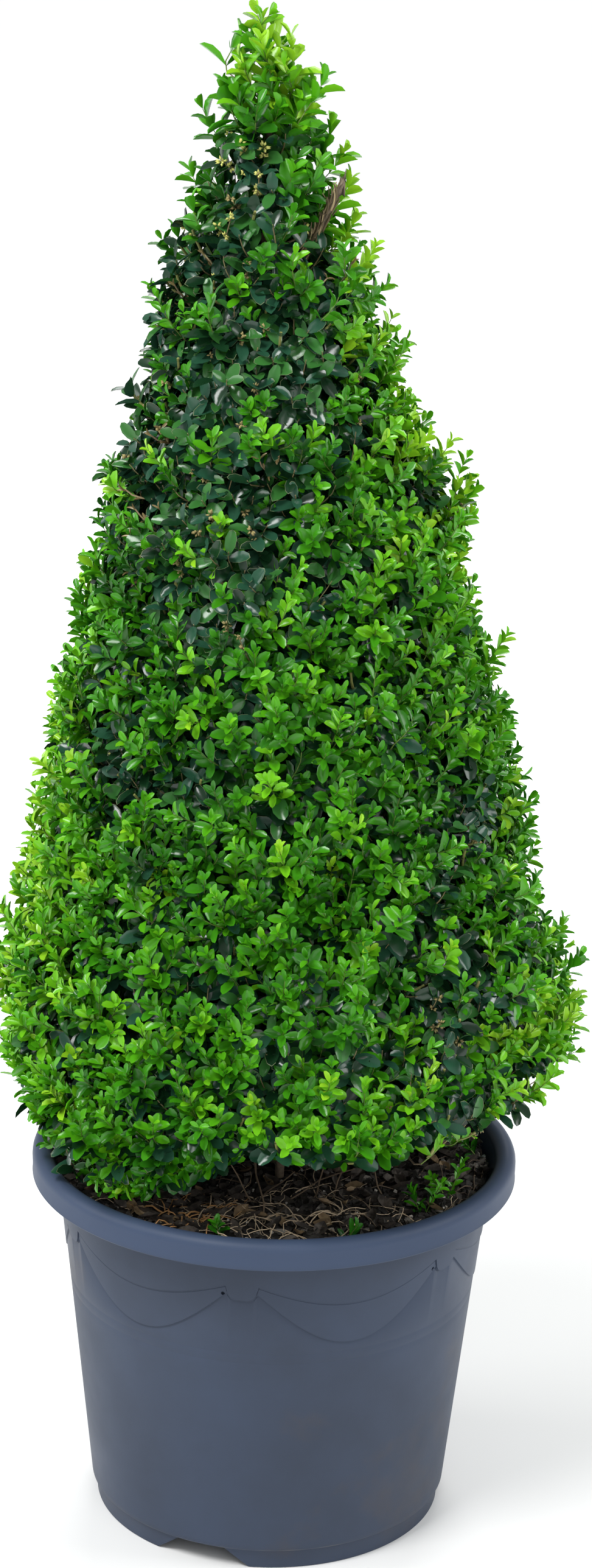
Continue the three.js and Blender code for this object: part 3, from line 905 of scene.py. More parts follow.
# %% Limbs with their bark's relief
BARK_STEP = 3.0 * MM
BARKS = {"trunk": (36, 0.10), "upper_bough": (26, 0.28)}
STEM_BARK = (24, 0.09)
SNAPPED = {"name": "upper_bough", "uneven": 26 * MM, "tapers_by": 0.35}
COARSE_RIDGE, FINE_RIDGE = (2.6, 24.0), (7.0, 90.0)


def ridge_place(ridge, turn, at):
    """Where the noise of a ridge is read, from the turn round a limb and the run along it."""
    across, along = ridge
    return Vector((across * math.cos(turn), across * math.sin(turn), along * at))


def bark_skin(name):
    """A closed skin of level rings along a limb, pushed in and out by ridges that run along it."""
    middles, radii = limb_lines[name]
    columns, depth = BARKS.get(name, STEM_BARK)
    run = np.append(0.0, np.linalg.norm(np.diff(middles, axis=0), axis=1).cumsum())
    steps = np.linspace(0.0, run[-1], int(run[-1] / BARK_STEP) + 2)
    turns = np.linspace(0.0, 2 * math.pi, columns, endpoint=False)
    rings = []
    for at in steps:
        middle = np.array([np.interp(at, run, middles[:, axis]) for axis in range(3)])
        ring = []
        for turn in turns:
            coarse_place = ridge_place(COARSE_RIDGE, turn, at)
            fine_place = ridge_place(FINE_RIDGE, turn, at)
            push = 0.65 * noise.noise(coarse_place) + 0.5 * noise.noise(fine_place)
            reach = np.interp(at, run, radii) * (1.0 - 0.5 * depth + 1.4 * depth * push)
            place = middle + reach * np.array([math.cos(turn), math.sin(turn), 0.0])
            if name == SNAPPED["name"]:
                near_end = (at / run[-1]) ** 10
                place += near_end * SNAPPED["uneven"] * noise.noise(coarse_place * 1.7) * UP
                place += near_end * SNAPPED["tapers_by"] * (middle - place)
            ring.append(place)
        rings.append(ring)
    return skinned(f"{name}_bark", np.array(rings))


box_bark = coated_material(
    "box_bark", (0.24, 0.185, 0.125), (0.075, 0.055, 0.037), {"Scale": 60.0, "Low": 0.38, "High": 0.62},
    {"Scale": 300.0, "Stretch": (1.0, 1.0, 0.25), "Depth": 0.0012}, (0.8, 0.95),
)
green_stem = coated_material(
    "green_brown_stem", (0.20, 0.21, 0.085), (0.085, 0.072, 0.035), {"Scale": 70.0, "Low": 0.4, "High": 0.65},
    {"Scale": 320.0, "Stretch": (1.0, 1.0, 0.3), "Depth": 0.0008}, (0.6, 0.8),
)
for name in LIMBS:
    limb = piece_from(f"{name}_bark", bark_skin(name))
    smoothed(limb)
    green = name == "stem_6"
    limb.data.materials.append(green_stem if green else box_bark)
    settle(limb, "green_bark" if green else "bark", name)

# %% [markdown]
# ## Peeling strips
# The bare bough near the top is old and frayed. Thin strips of its outer wood follow its line for a part of
# its length, turn slowly round it, and stand away from it at their upper ends.

# %% Strips that peel off the upper bough
STRIPS = {
    "count": 64, "points": 9, "thickness": 1.2, "stand_off": 1.08, "splay": 1.8, "last_start": 0.88,
    "length": (0.12, 0.34),
}
STRIP_LEAN = np.array([-8.0, -4.0, 0.0]) * MM


def peeling_strips(name, chance):
    """Lines that run along part of a limb's skin and splay away from it at their upper end."""
    middles, radii = limb_lines[name]
    spots = np.linspace(0.0, 1.0, len(middles))
    along = np.linspace(0.0, 1.0, STRIPS["points"])
    strips = []
    for _ in range(STRIPS["count"]):
        start = chance.uniform(0.0, STRIPS["last_start"])
        at = start + chance.uniform(*STRIPS["length"]) * along
        past = np.clip(at - 1.0, 0.0, 1.0)
        line = np.stack([np.interp(at, spots, middles[:, axis]) for axis in range(3)], axis=1)
        line += past[:, None] * (middles[-1] - middles[0])
        turn = chance.uniform(0.0, 2 * math.pi) + chance.normal(0.0, 0.5) * along
        lift = STRIPS["stand_off"] + STRIPS["splay"] * chance.random() ** 2 * along ** 3
        reach = np.interp(at, spots, radii) * lift * (1.0 - 2.0 * past)
        ring = np.stack([np.cos(turn), np.sin(turn), 0.2 * np.cos(3 * turn)], axis=1)
        strips.append(line + chance.random() * along[:, None] ** 2 * STRIP_LEAN + reach[:, None] * ring)
    return np.array(strips)


strips = peeling_strips("upper_bough", np.random.default_rng(5))
print(len(strips), "strips")

# %% [markdown]
# ## Where old and new leaves grow
# Clipping leaves a box plant in patches. Where the shears cut hard, last year's large, dark, glossy leaves
# show. Elsewhere this spring's small bright shoots have covered them, most of all on the low part, down
# the sides and at the top. Lime patches make the young leaves there yellower and brighter; down the sides
# that is painted light, for light through leaves seen edge-on and for sunlit sides. The patches are soft
# spots on the cone, each with its own angle and height.
# A few small spots have died back, and in loose spots single shoots stand out past the clipped face.

# %% Patches of growth
OLD_PATCHES = [
    {"angle": -14, "height": 1.06, "turn": 46, "rise": 0.10, "amount": 1.1},
    {"angle": -20, "height": 0.91, "turn": 24, "rise": 0.06, "amount": 0.85},
    {"angle": -62, "height": 0.97, "turn": 22, "rise": 0.07, "amount": 0.6},
    {"angle": -42, "height": 1.19, "turn": 40, "rise": 0.045, "amount": 0.9},
    {"angle": 50, "height": 0.40, "turn": 26, "rise": 0.035, "amount": 0.75},
    {"angle": 38, "height": 0.51, "turn": 13, "rise": 0.075, "amount": 0.75},
    {"angle": 62, "height": 0.66, "turn": 12, "rise": 0.03, "amount": 0.75},
    {"angle": 2, "height": 0.42, "turn": 9, "rise": 0.03, "amount": 0.5},
    {"angle": -115, "height": 1.0, "turn": 40, "rise": 0.09, "amount": 0.8},
    {"angle": 165, "height": 0.86, "turn": 34, "rise": 0.12, "amount": 0.9},
    {"angle": 120, "height": 0.56, "turn": 26, "rise": 0.06, "amount": 0.6},
    {"angle": -150, "height": 0.5, "turn": 26, "rise": 0.05, "amount": 0.6},
]
DEAD_PATCHES = [
    {"angle": 45, "height": 1.135, "turn": 12, "rise": 0.026, "amount": 0.6},
    {"angle": -60, "height": 1.085, "turn": 6, "rise": 0.018, "amount": 0.7},
    {"angle": -58, "height": 0.94, "turn": 9, "rise": 0.045, "amount": 0.3},
    {"angle": 3, "height": 0.976, "turn": 5, "rise": 0.014, "amount": 0.4},
    {"angle": 155, "height": 1.02, "turn": 9, "rise": 0.02, "amount": 0.6},
]
# Lime patches: yellower, brighter young leaves. Those down the sides are painted light, for light through
# leaves seen edge-on and for sunlit sides.
LIME_AND_SUNLIT_PATCHES = [
    {"angle": 0, "height": 1.30, "turn": 400, "rise": 0.034, "amount": 1.1},
    {"angle": 88, "height": 0.92, "turn": 28, "rise": 0.12, "amount": 0.75},
    {"angle": 72, "height": 0.46, "turn": 30, "rise": 0.07, "amount": 0.9},
    {"angle": -92, "height": 0.52, "turn": 34, "rise": 0.13, "amount": 0.85},
    {"angle": -85, "height": 0.72, "turn": 20, "rise": 0.06, "amount": 0.5},
    {"angle": 92, "height": 1.15, "turn": 26, "rise": 0.035, "amount": 0.8},
    {"angle": 80, "height": 1.05, "turn": 30, "rise": 0.05, "amount": 0.35},
    {"angle": -165, "height": 0.6, "turn": 40, "rise": 0.12, "amount": 0.5},
]
LOOSE_PATCHES = [
    {"angle": 70, "height": 0.91, "turn": 22, "rise": 0.05, "amount": 1.0},
    {"angle": 78, "height": 0.45, "turn": 26, "rise": 0.05, "amount": 1.0},
    {"angle": -85, "height": 0.46, "turn": 26, "rise": 0.05, "amount": 0.7},
    {"angle": -70, "height": 1.16, "turn": 40, "rise": 0.05, "amount": 0.9},
    {"angle": 0, "height": 1.27, "turn": 400, "rise": 0.05, "amount": 0.8},
    {"angle": 160, "height": 0.7, "turn": 30, "rise": 0.08, "amount": 0.6},
]
trunk_middles = limb_lines["trunk"][0]


def middle_at(heights):
    """The middle of the cone at some heights: the line of the trunk, and on past its tip."""
    flat = [np.interp(heights, trunk_middles[:, 2], trunk_middles[:, axis]) for axis in (0, 1)]
    return np.stack([*flat, heights], axis=-1)


def angles_at(places):
    """Degrees round the plant from its front, towards +X."""
    away = places - middle_at(places[:, 2])
    return np.degrees(np.arctan2(away[:, 0], -away[:, 1]))


def share_of(patches, places):
    angles = angles_at(places)
    total = np.zeros(len(places))
    for patch in patches:
        around = (angles - patch["angle"] + 180.0) % 360.0 - 180.0
        up = places[:, 2] - patch["height"]
        total += patch["amount"] * np.exp(-0.5 * ((around / patch["turn"]) ** 2 + (up / patch["rise"]) ** 2))
    return np.clip(total, 0.0, 1.0)


print(len(OLD_PATCHES), "old,", len(LIME_AND_SUNLIT_PATCHES), "lime and", len(LOOSE_PATCHES), "loose patches")

# %% [markdown]
# ## Tips of the shoots
# The shears stop at the skin, so that is where shoots end. Points are dealt over the skin by area, and a
# point stays only if it keeps its distance to those before it, which gives the even crowding of real shoots.
# They thin out towards the tip. A last handful hangs in the shade under the front of the hem.

# %% Points on the skin
chance = np.random.default_rng(11)
TRIED = 60000
NEW_SPACING = 12.8 * MM
OLD_SPACING = 13.0 * MM
OLD_SHARE = {"least": 0.07, "in_patch": 0.68, "power": 1.25, "hanging": 0.15}
TOP = {
    "from": 1.09, "over": 0.12, "spacing": 0.64, "size": 0.34, "old_size": 0.05, "pale": 0.3,
    "no_old": 1.235, "no_stray": 1.19,
}
POCKETS = {"scale": 26.0, "from": 0.24, "share": 0.75}
HEM = {
    "angles": [-180, -100, -85, -62, -45, -30, -20, -8, 6, 25, 43, 61, 76, 88, 100, 180],
    "heights": [343, 334, 332, 325, 327, 344, 374, 400, 389, 386, 392, 391, 391, 384, 366, 343],
    "radius": 180 * MM, "rise": 0.45, "uneven": 6 * MM,
}
HANGING = {
    "count": 75, "angles": (-86, -30), "radius": (148 * MM, 203 * MM), "height": 385 * MM, "clear": 8 * MM,
}


def dealt_over(triangles, area, count):
    picked = triangles[chance.choice(len(triangles), count, p=area / area.sum())]
    a, b = chance.random((2, count, 1))
    over = a + b > 1.0
    a, b = np.where(over, 1.0 - a, a), np.where(over, 1.0 - b, b)
    return picked[:, 0] + a * (picked[:, 1] - picked[:, 0]) + b * (picked[:, 2] - picked[:, 0])


def kept_apart(places, spacing):
    """The indices of the places that keep their spacing to every place kept before them."""
    tree = KDTree(len(places))
    for index, place in enumerate(places):
        tree.insert(place, index)
    tree.balance()
    free = np.ones(len(places), bool)
    kept = []
    for index, place in enumerate(places):
        if free[index]:
            kept.append(index)
            free[[found[1] for found in tree.find_range(place, spacing[index])]] = False
    return np.array(kept)


def hem_at(places):
    """The height of the lowest leaves, which differs round the plant and rises outwards."""
    outer = np.clip(np.hypot(places[:, 0], places[:, 1]) - HEM["radius"], -30 * MM, 60 * MM)
    return np.interp(angles_at(places), HEM["angles"], HEM["heights"]) * MM + HEM["rise"] * outer


def topmost(places):
    """0 on the dense part of the crown, rising to 1 in its loose tip."""
    return np.clip((places[:, 2] - TOP["from"]) / TOP["over"], 0.0, 1.0)


print("rules for the skin ready")

# %% Ends of the shoots
tried = dealt_over(skin, skin_area, TRIED)
tried = tried[tried[:, 2] > hem_at(tried)]
old_share = share_of(OLD_PATCHES, tried)
old_odds = OLD_SHARE["least"] + OLD_SHARE["in_patch"] * old_share ** OLD_SHARE["power"]
is_old = chance.random(len(tried)) < old_odds
pocket = np.array([noise.noise(Vector(place) * POCKETS["scale"]) for place in tried]) > POCKETS["from"]
is_old |= pocket & (chance.random(len(tried)) < POCKETS["share"])
spacing = np.where(is_old, OLD_SPACING, NEW_SPACING) * (1.0 + TOP["spacing"] * topmost(tried))
kept = kept_apart(tried, spacing)
ends, old_share = tried[kept], old_share[kept]
is_old = is_old[kept] & (ends[:, 2] < TOP["no_old"])

hang = np.radians(chance.uniform(*HANGING["angles"], HANGING["count"]))
reach = chance.uniform(*HANGING["radius"], HANGING["count"])
hanging = np.stack([reach * np.sin(hang), -reach * np.cos(hang), np.zeros(len(hang))], axis=1)
lowest = hem_at(hanging) + HANGING["clear"]
hanging[:, 2] = lowest + chance.random(len(hang)) * (HANGING["height"] - lowest)
ends = np.concatenate([ends, hanging])
is_old = np.append(is_old, chance.random(len(hanging)) < OLD_SHARE["hanging"])
old_share = np.append(old_share, np.ones(len(hanging)))
print(f"{len(ends)} shoots, {is_old.sum()} of them old")

# %% [markdown]
# ## A branching rule
# A shoot grows outwards and up towards the light. Going back down it, each shoot joins the nearest twig, each
# twig the best-placed bough, and each bough a limb. The best place to join is near and lies lower, because
# wood grows up and out. Every join is one smooth curve that leaves its parent along the parent's own line.

# %% Ways to grow
def outwards(places):
    away = places - middle_at(places[:, 2])
    away[:, 2] = 0.0
    return unit(away)


def turned_by_chance(ways, amount):
    return unit(ways + chance.normal(0.0, amount, ways.shape))


def curves_between(start, start_way, end, end_way, steps, wander=0.0):
    """Smooth curves, one to a row, from start to end, that leave and arrive along the ways given."""
    along = np.linspace(0.0, 1.0, steps + 1)[None, :, None]
    pull = np.linalg.norm(end - start, axis=1)[:, None, None]
    a, b, va, vb = (part[:, None, :] for part in (start, end, start_way, end_way))
    curve = (
        (2 * along ** 3 - 3 * along ** 2 + 1) * a
        + (along ** 3 - 2 * along ** 2 + along) * pull * va
        + (3 * along ** 2 - 2 * along ** 3) * b
        + (along ** 3 - along ** 2) * pull * vb
    )
    bow, wave = chance.normal(0.0, 1.0, (2, len(start), 1, 3))
    bend = bow * np.sin(math.pi * along) * along + 0.5 * wave * np.sin(2 * math.pi * along)
    return curve + wander * pull * bend * (1 - along)


def ways_of(curves):
    """The way a curve runs at each of its points."""
    return unit(np.gradient(curves, axis=1))


def point_along(curves, share):
    """The place and the way at a share of each curve's length; share has one value to a row."""
    steps = curves.shape[1] - 1
    at = np.clip(share, 0.0, 1.0) * steps
    low = np.minimum(at.astype(int), steps - 1)
    row = np.arange(len(curves))
    part = (at - low)[:, None]
    a, b = curves[row, low], curves[row, low + 1]
    return a + part * (b - a), unit(b - a)


def best_joins(ends, nodes, climb):
    """For each end, the index of the node that is near and far enough below it."""
    away = ends[:, None, :] - nodes[None, :, :]
    flat = np.hypot(away[..., 0], away[..., 1])
    short = np.maximum(0.0, climb * flat - away[..., 2])
    return (np.linalg.norm(away, axis=2) + 1.6 * short).argmin(1)


print("growing rules ready")

# %% Shoots, from the skin back inwards
# A noise moves groups of shoots out or in. Its tone is painted light and shade: groups that stand out get
# lighter greens, groups that sink get darker ones.
CLUMPS_AND_PAINTED_SHADE = {"scale": 24.0, "depth": 15 * MM, "furthest": -6 * MM, "tone": 0.75}
NEAR_TIP = {"from": 0.84, "over": 0.16, "longer": 0.25, "flusher": 0.1}
NEAR_HEM = 45 * MM
LIFT = {"plain": 1.9, "near_tip": 2.0, "at_hem": 1.4, "scatter": 0.22}
SHOOT_LENGTH = {"old": (26, 42), "new": (28, 52)}
RECESS = {"old": (9, 24), "new": (11, 6.0), "off_patch": 12 * MM}
STRAY = {"least": 0.02, "loose": 0.25, "reach": (0, 14)}
top = cad_high.z
count = len(ends)
near_top = np.clip((ends[:, 2] - NEAR_TIP["from"] * top) / (NEAR_TIP["over"] * top), 0.0, 1.0)
at_hem = np.clip((hem_at(ends) + NEAR_HEM - ends[:, 2]) / NEAR_HEM, 0.0, 1.0)
loose = share_of(LOOSE_PATCHES, ends)
lift = LIFT["plain"] + LIFT["near_tip"] * near_top - LIFT["at_hem"] * at_hem
shoot_way = turned_by_chance(unit(outwards(ends) + lift[:, None] * UP), LIFT["scatter"])
old_length = chance.uniform(*SHOOT_LENGTH["old"], count)
shoot_length = np.where(is_old, old_length, chance.uniform(*SHOOT_LENGTH["new"], count)) * MM
shoot_length *= 1.0 + NEAR_TIP["longer"] * near_top
old_recess = chance.uniform(*RECESS["old"], count)
recess = np.where(is_old, old_recess, chance.normal(*RECESS["new"], count)) * MM
recess += np.where(is_old, RECESS["off_patch"] * (1.0 - old_share), 0.0)
recess *= 1.0 - NEAR_TIP["flusher"] * near_top
clump_and_shade = np.array([noise.noise(Vector(end) * CLUMPS_AND_PAINTED_SHADE["scale"]) for end in ends])
recess = np.maximum(recess - CLUMPS_AND_PAINTED_SHADE["depth"] * clump_and_shade, CLUMPS_AND_PAINTED_SHADE["furthest"])
stray_odds = STRAY["least"] + STRAY["loose"] * loose
stands_out = ~is_old & (ends[:, 2] < TOP["no_stray"]) & (chance.random(count) < stray_odds)
recess = np.where(stands_out, -chance.uniform(*STRAY["reach"], count) * MM, recess)
recess[-len(hanging):] = 0.0
tips = ends - recess[:, None] * unit(outwards(ends) + 0.35 * UP)
tips[:, 2] = np.minimum(tips[:, 2], top - 16 * MM)
feet = tips - shoot_length[:, None] * unit(shoot_way + 0.3 * outwards(ends))
print("mean shoot length", (shoot_length.mean() / MM).round(1), "mm")

# %% Twigs and boughs
HOLLOW = {"top": 0.412, "fall": 0.22}


def drawn_in(places, share, drop):
    """Places closer to the middle by a share of their distance to it, and lower by a share of it."""
    away = places - middle_at(places[:, 2])
    moved = places - (1.0 - share) * away
    moved[:, 2] -= drop * np.linalg.norm(away, axis=1)
    return moved


def lifted_into(places):
    """Keeps inner wood inside the masses, over the hollow under them."""
    away = (places - middle_at(places[:, 2]))[:, :2]
    lowest = HOLLOW["top"] - HOLLOW["fall"] * np.linalg.norm(away, axis=1)
    places[:, 2] = np.maximum(places[:, 2], lowest)
    return places


TWIGS = {
    "spacing": 26 * MM, "share": 0.94, "drop": 0.02, "climb": 0.25, "steps": 7, "wander": 0.06,
    "of_parent": 0.75, "thickest": 1.5 * MM, "taper": 0.62,
}
BOUGHS = {
    "spacing": 74 * MM, "share": 0.62, "drop": 0.22, "climb": 0.45, "steps": 9, "wander": 0.05,
    "of_parent": 0.72, "thickest": 3.4 * MM, "taper": 0.55, "lowest": 0.40,
}


def radii_along(parent_radii, kind):
    """Radii along boughs or twigs: a share of their parent's, up to a limit, and tapering."""
    thick = np.minimum(parent_radii * kind["of_parent"], kind["thickest"])
    return thick[:, None] * np.linspace(1.0, kind["taper"], kind["steps"] + 1)


def spaced(places, kind):
    return places[kept_apart(places, np.full(len(places), kind["spacing"]))]


twig_ends = lifted_into(drawn_in(spaced(feet, TWIGS), TWIGS["share"], TWIGS["drop"]))
bough_ends = lifted_into(spaced(drawn_in(twig_ends, BOUGHS["share"], BOUGHS["drop"]), BOUGHS))

joints, joint_ways, joint_radii = [], [], []
for name, (middles, radii) in limb_lines.items():
    if name == "upper_bough":
        continue
    ways = unit(np.gradient(middles, axis=0))
    is_end = np.arange(len(middles)) >= len(middles) - 1
    usable = middles[:, 2] > BOUGHS["lowest"] if name == "trunk" else is_end
    joints.append(middles[usable])
    joint_ways.append(ways[usable])
    joint_radii.append(radii[usable])
joints, joint_ways, joint_radii = (np.concatenate(part) for part in (joints, joint_ways, joint_radii))

chosen = best_joins(bough_ends, joints, BOUGHS["climb"])
leaving = unit(joint_ways[chosen] + 1.1 * outwards(bough_ends))
bough_way = unit(outwards(bough_ends) + 0.5 * UP)
boughs = curves_between(
    joints[chosen], leaving, bough_ends, bough_way, BOUGHS["steps"], BOUGHS["wander"]
)
bough_radii = radii_along(joint_radii[chosen], BOUGHS)

bough_nodes = np.concatenate([boughs[:, 3:].reshape(-1, 3), joints])
bough_node_ways = np.concatenate([ways_of(boughs)[:, 3:].reshape(-1, 3), joint_ways])
bough_node_radii = np.concatenate([bough_radii[:, 3:].ravel(), joint_radii])
chosen = best_joins(twig_ends, bough_nodes, TWIGS["climb"])
twig_way = turned_by_chance(unit(outwards(twig_ends) + 0.55 * UP), 0.15)
leaving = unit(bough_node_ways[chosen] + 0.9 * twig_way)
twigs = curves_between(
    bough_nodes[chosen], leaving, twig_ends, twig_way, TWIGS["steps"], TWIGS["wander"]
)
twig_radii = radii_along(bough_node_radii[chosen], TWIGS)
print(len(twigs), "twigs")

# %% Shoots on their twigs, and sprigs on the soil
SHOOT_STEPS = 6
SPRIGS = [
    {"place": (150, -70), "reach": (10, -6, 34)},
    {"place": (146, -74), "reach": (-12, -12, 24)},
    {"place": (129, -104), "reach": (12, -4, 30)},
    {"place": (124, -108), "reach": (-8, 8, 20)},
    {"place": (151, 12), "reach": (8, -8, 26)},
    {"place": (178, 8), "reach": (-14, -6, 22)},
    {"place": (60, -164), "reach": (10, -6, 20)},
    {"place": (-44, -168), "reach": (-2, -3, 15)},
    {"place": (-140, -92), "reach": (-16, -16, 36)},
    {"place": (-150, -74), "reach": (-18, -8, 30)},
]
SHOOT_WOOD = {"old": (0.85, 0.5), "new": (0.7, 0.5), "stub": (1.35, 0.85), "dead": (1.05, 0.6)}
STUB_SHARE = 0.16
twig_nodes = twigs[:, 2:].reshape(-1, 3)
twig_node_ways = ways_of(twigs)[:, 2:].reshape(-1, 3)
nearest = KDTree(len(twig_nodes))
for index, place in enumerate(twig_nodes):
    nearest.insert(place, index)
nearest.balance()
chosen = np.array([nearest.find(foot)[1] for foot in feet])
shoots = curves_between(
    twig_nodes[chosen], unit(twig_node_ways[chosen] + 0.6 * shoot_way), tips, shoot_way, SHOOT_STEPS, 0.03
)

sprig_feet = rooted([sprig["place"] for sprig in SPRIGS], 2 * MM)
sprig_reach = np.array([sprig["reach"] for sprig in SPRIGS]) * MM
sprigs = curves_between(
    sprig_feet, unit(sprig_reach + 20 * MM * UP), sprig_feet + sprig_reach, unit(sprig_reach), SHOOT_STEPS
)
shoots = np.concatenate([shoots, sprigs])
ends = np.concatenate([ends, sprigs[:, -1]])
is_old = np.append(is_old, [False] * len(sprigs))
is_grown = np.arange(len(shoots)) < len(shoots) - len(sprigs)
shoot_length = np.append(shoot_length, np.linalg.norm(sprig_reach, axis=1))
is_dead = chance.random(len(ends)) < share_of(DEAD_PATCHES, ends)
young, aged = ~is_old & ~is_dead, is_old & ~is_dead
is_stub = aged & (chance.random(len(ends)) < STUB_SHARE)


def shoot_taper(kind):
    """Radii along one kind of shoot, from its foot to its end."""
    foot, taper = SHOOT_WOOD[kind]
    return foot * MM * np.linspace(1.0, taper, SHOOT_STEPS + 1)


shoot_radii = np.where(is_old[:, None], shoot_taper("old"), shoot_taper("new"))
shoot_radii[is_stub] = shoot_taper("stub")
shoot_radii[is_dead] = shoot_taper("dead")
shoot_run = np.linalg.norm(np.diff(shoots, axis=1), axis=2).sum(1)
print(f"{len(shoots)} shoots, {shoot_run.mean() / MM:.0f} mm from twig to tip")

# %% [markdown]
# ## Wood for the twigs
# Sweeping a small ring along each line turns it into a twig. The tree takes a mesh of bare edges that keep
# their thickness, makes curves of them, and sweeps the ring at that scale. Young shoots are green and need
# three sides; boughs and twigs are brown and get five. The strips of the bough, and the rootlets and dead
# stalks on the soil, are swept in the same way.

# %% A tree that sweeps a ring along every line
sweep, sweep_in, sweep_out = new_tree("sweep_twigs", Sides="NodeSocketInt", Bark="NodeSocketMaterial")
lines = wire(sweep, "GeometryNodeMeshToCurve", Mesh=sweep_in.outputs["Geometry"])
ring = wire(sweep, "GeometryNodeCurvePrimitiveCircle", Resolution=sweep_in.outputs["Sides"], Radius=1.0)
swept = wire(
    sweep, "GeometryNodeCurveToMesh", Curve=lines.outputs["Curve"], Profile_Curve=ring.outputs["Curve"],
    Scale=kept_value(sweep, "thickness", "FLOAT"), Fill_Caps=True,
)
smooth = wire(sweep, "GeometryNodeSetShadeSmooth", Geometry=swept.outputs["Mesh"])
single = wire(sweep, "GeometryNodeRealizeInstances", Geometry=smooth.outputs["Geometry"])
coated = wire(
    sweep, "GeometryNodeSetMaterial", Geometry=single.outputs["Geometry"], Material=sweep_in.outputs["Bark"]
)
sweep.links.new(coated.outputs["Geometry"], sweep_out.inputs["Geometry"])


def lines_mesh(name, curves, radii):
    """A mesh of bare edges from arrays of curves, one to a row, with their thickness kept on it."""
    places, edges, thickness, start = [], [], [], 0
    for group, group_radii in zip(curves, radii):
        rows, points = group.shape[:2]
        first = start + points * np.repeat(np.arange(rows), points - 1) + np.tile(np.arange(points - 1), rows)
        edges.append(np.stack([first, first + 1], axis=1))
        places.append(group.reshape(-1, 3))
        thickness.append(group_radii.ravel())
        start += rows * points
    return mesh_from(
        name, np.concatenate(places), edges=np.concatenate(edges).tolist(),
        values={"thickness": np.concatenate(thickness)},
    )


def settle_wood(name, curves, radii, sides, finish, slot):
    """Sweeps lines as one piece of wood in a plain finish, and settles it."""
    lines = lines_mesh(name, curves, radii)
    settle(grown(name, lines, sweep, Sides=sides, Bark=plain_material(*finish)), slot)


print("sweeping tree ready")

# %% Twigs, shoots and loose wood
LOOSE_WOOD = [("tan_strips", (0.40, 0.31, 0.17)), ("dark_strips", (0.13, 0.095, 0.05))]
WOODS = {
    "brown": ("brown_twig", (0.105, 0.075, 0.042), 0.75),
    "pale": ("clipped_shoot", (0.235, 0.19, 0.085), 0.6),
    "yellow": ("cut_stub", (0.24, 0.25, 0.07), 0.6),
    "green": ("green_twig", (0.13, 0.2, 0.035), 0.5),
}
strip_radii = STRIPS["thickness"] * MM * np.ones(strips.shape[:2]) * np.linspace(1.0, 0.4, STRIPS["points"])
thin = aged & ~is_stub
settle_wood("brown_twigs", [boughs, twigs], [bough_radii, twig_radii], 5, WOODS["brown"], "bark")
settle_wood("green_shoots", [shoots[young]], [shoot_radii[young]], 3, WOODS["green"], "green_bark")
settle_wood("clipped_shoots", [shoots[thin]], [shoot_radii[thin]], 4, WOODS["pale"], "bark")

dead_shoots, dead_radii = shoots[is_dead], shoot_radii[is_dead]
for first, (name, colour) in enumerate(LOOSE_WOOD):
    half = slice(first, None, 2)
    curves, radii = [strips[half], dead_shoots[half]], [strip_radii[half], dead_radii[half]]
    settle_wood(name, curves, radii, 4, (name, colour, 0.85), "bark")
stubs, stub_radii = shoots[is_stub, 2:], shoot_radii[is_stub, 2:]
settle_wood("cut_stubs", [stubs], [stub_radii], 5, WOODS["yellow"], "green_bark")
print(f"{young.sum()} young, {thin.sum()} clipped, {is_stub.sum()} cut and {is_dead.sum()} dead shoots")

# %% Rootlets and dead stalks on the soil
ROOTLETS = [
    {"name": "tan_rootlets", "count": 60, "middle": (-8, -128), "spread": (60, 26), "steps": 14, "step": 6.0,
     "radius": 0.6, "colour": (0.56, 0.43, 0.29)},
    {"name": "orange_rootlets", "count": 17, "middle": (-78, -132), "spread": (16, 12), "steps": 10,
     "step": 5.0, "radius": 0.9, "colour": (0.56, 0.29, 0.11)},
    {"name": "grey_rootlets", "count": 44, "middle": (30, -60), "spread": (90, 70), "steps": 10, "step": 6.5,
     "radius": 0.6, "colour": (0.12, 0.085, 0.055)},
]
LEANING = {
    "count": 9, "middle": (0, -95), "spread": (60, 30), "rise": 62, "lean": 34, "radius": 0.9, "steps": 5,
}


def rootlet_paths(count, middle, spread, steps, step):
    """Paths that wander over the soil, each with its own heading that keeps turning a little."""
    start = np.array(middle) + chance.normal(0.0, 1.0, (count, 2)) * np.array(spread)
    first = chance.uniform(0.0, 2 * math.pi, (count, 1))
    heading = first + chance.normal(0.0, 0.38, (count, steps)).cumsum(1)
    moves = np.stack([np.cos(heading), np.sin(heading)], axis=2) * step
    flat = (start[:, None, :] + np.concatenate([np.zeros((count, 1, 2)), moves.cumsum(1)], axis=1)) * MM
    far = np.linalg.norm(flat, axis=2, keepdims=True)
    flat *= np.minimum(1.0, (SOIL["radius"] - 4 * MM) / far)
    level = np.array([[soil_height(x, y) for x, y in path] for path in flat])
    waves = np.abs(np.sin(np.linspace(0.0, 2.5 * math.pi, steps + 1)))
    hump = waves[None, :] * chance.uniform(1, 7, (count, 1))
    return np.concatenate([flat, (level + 1.2 * MM + hump * MM)[:, :, None]], axis=2)


for kind in ROOTLETS:
    paths = rootlet_paths(kind["count"], kind["middle"], kind["spread"], kind["steps"], kind["step"])
    thin = np.linspace(1.0, 0.4, kind["steps"] + 1) * kind["radius"] * MM
    thin = thin * chance.uniform(0.6, 1.2, (kind["count"], 1))
    finish = (kind["name"], kind["colour"], 0.75)
    settle_wood(kind["name"], [paths], [thin], 4, finish, "potting_soil")

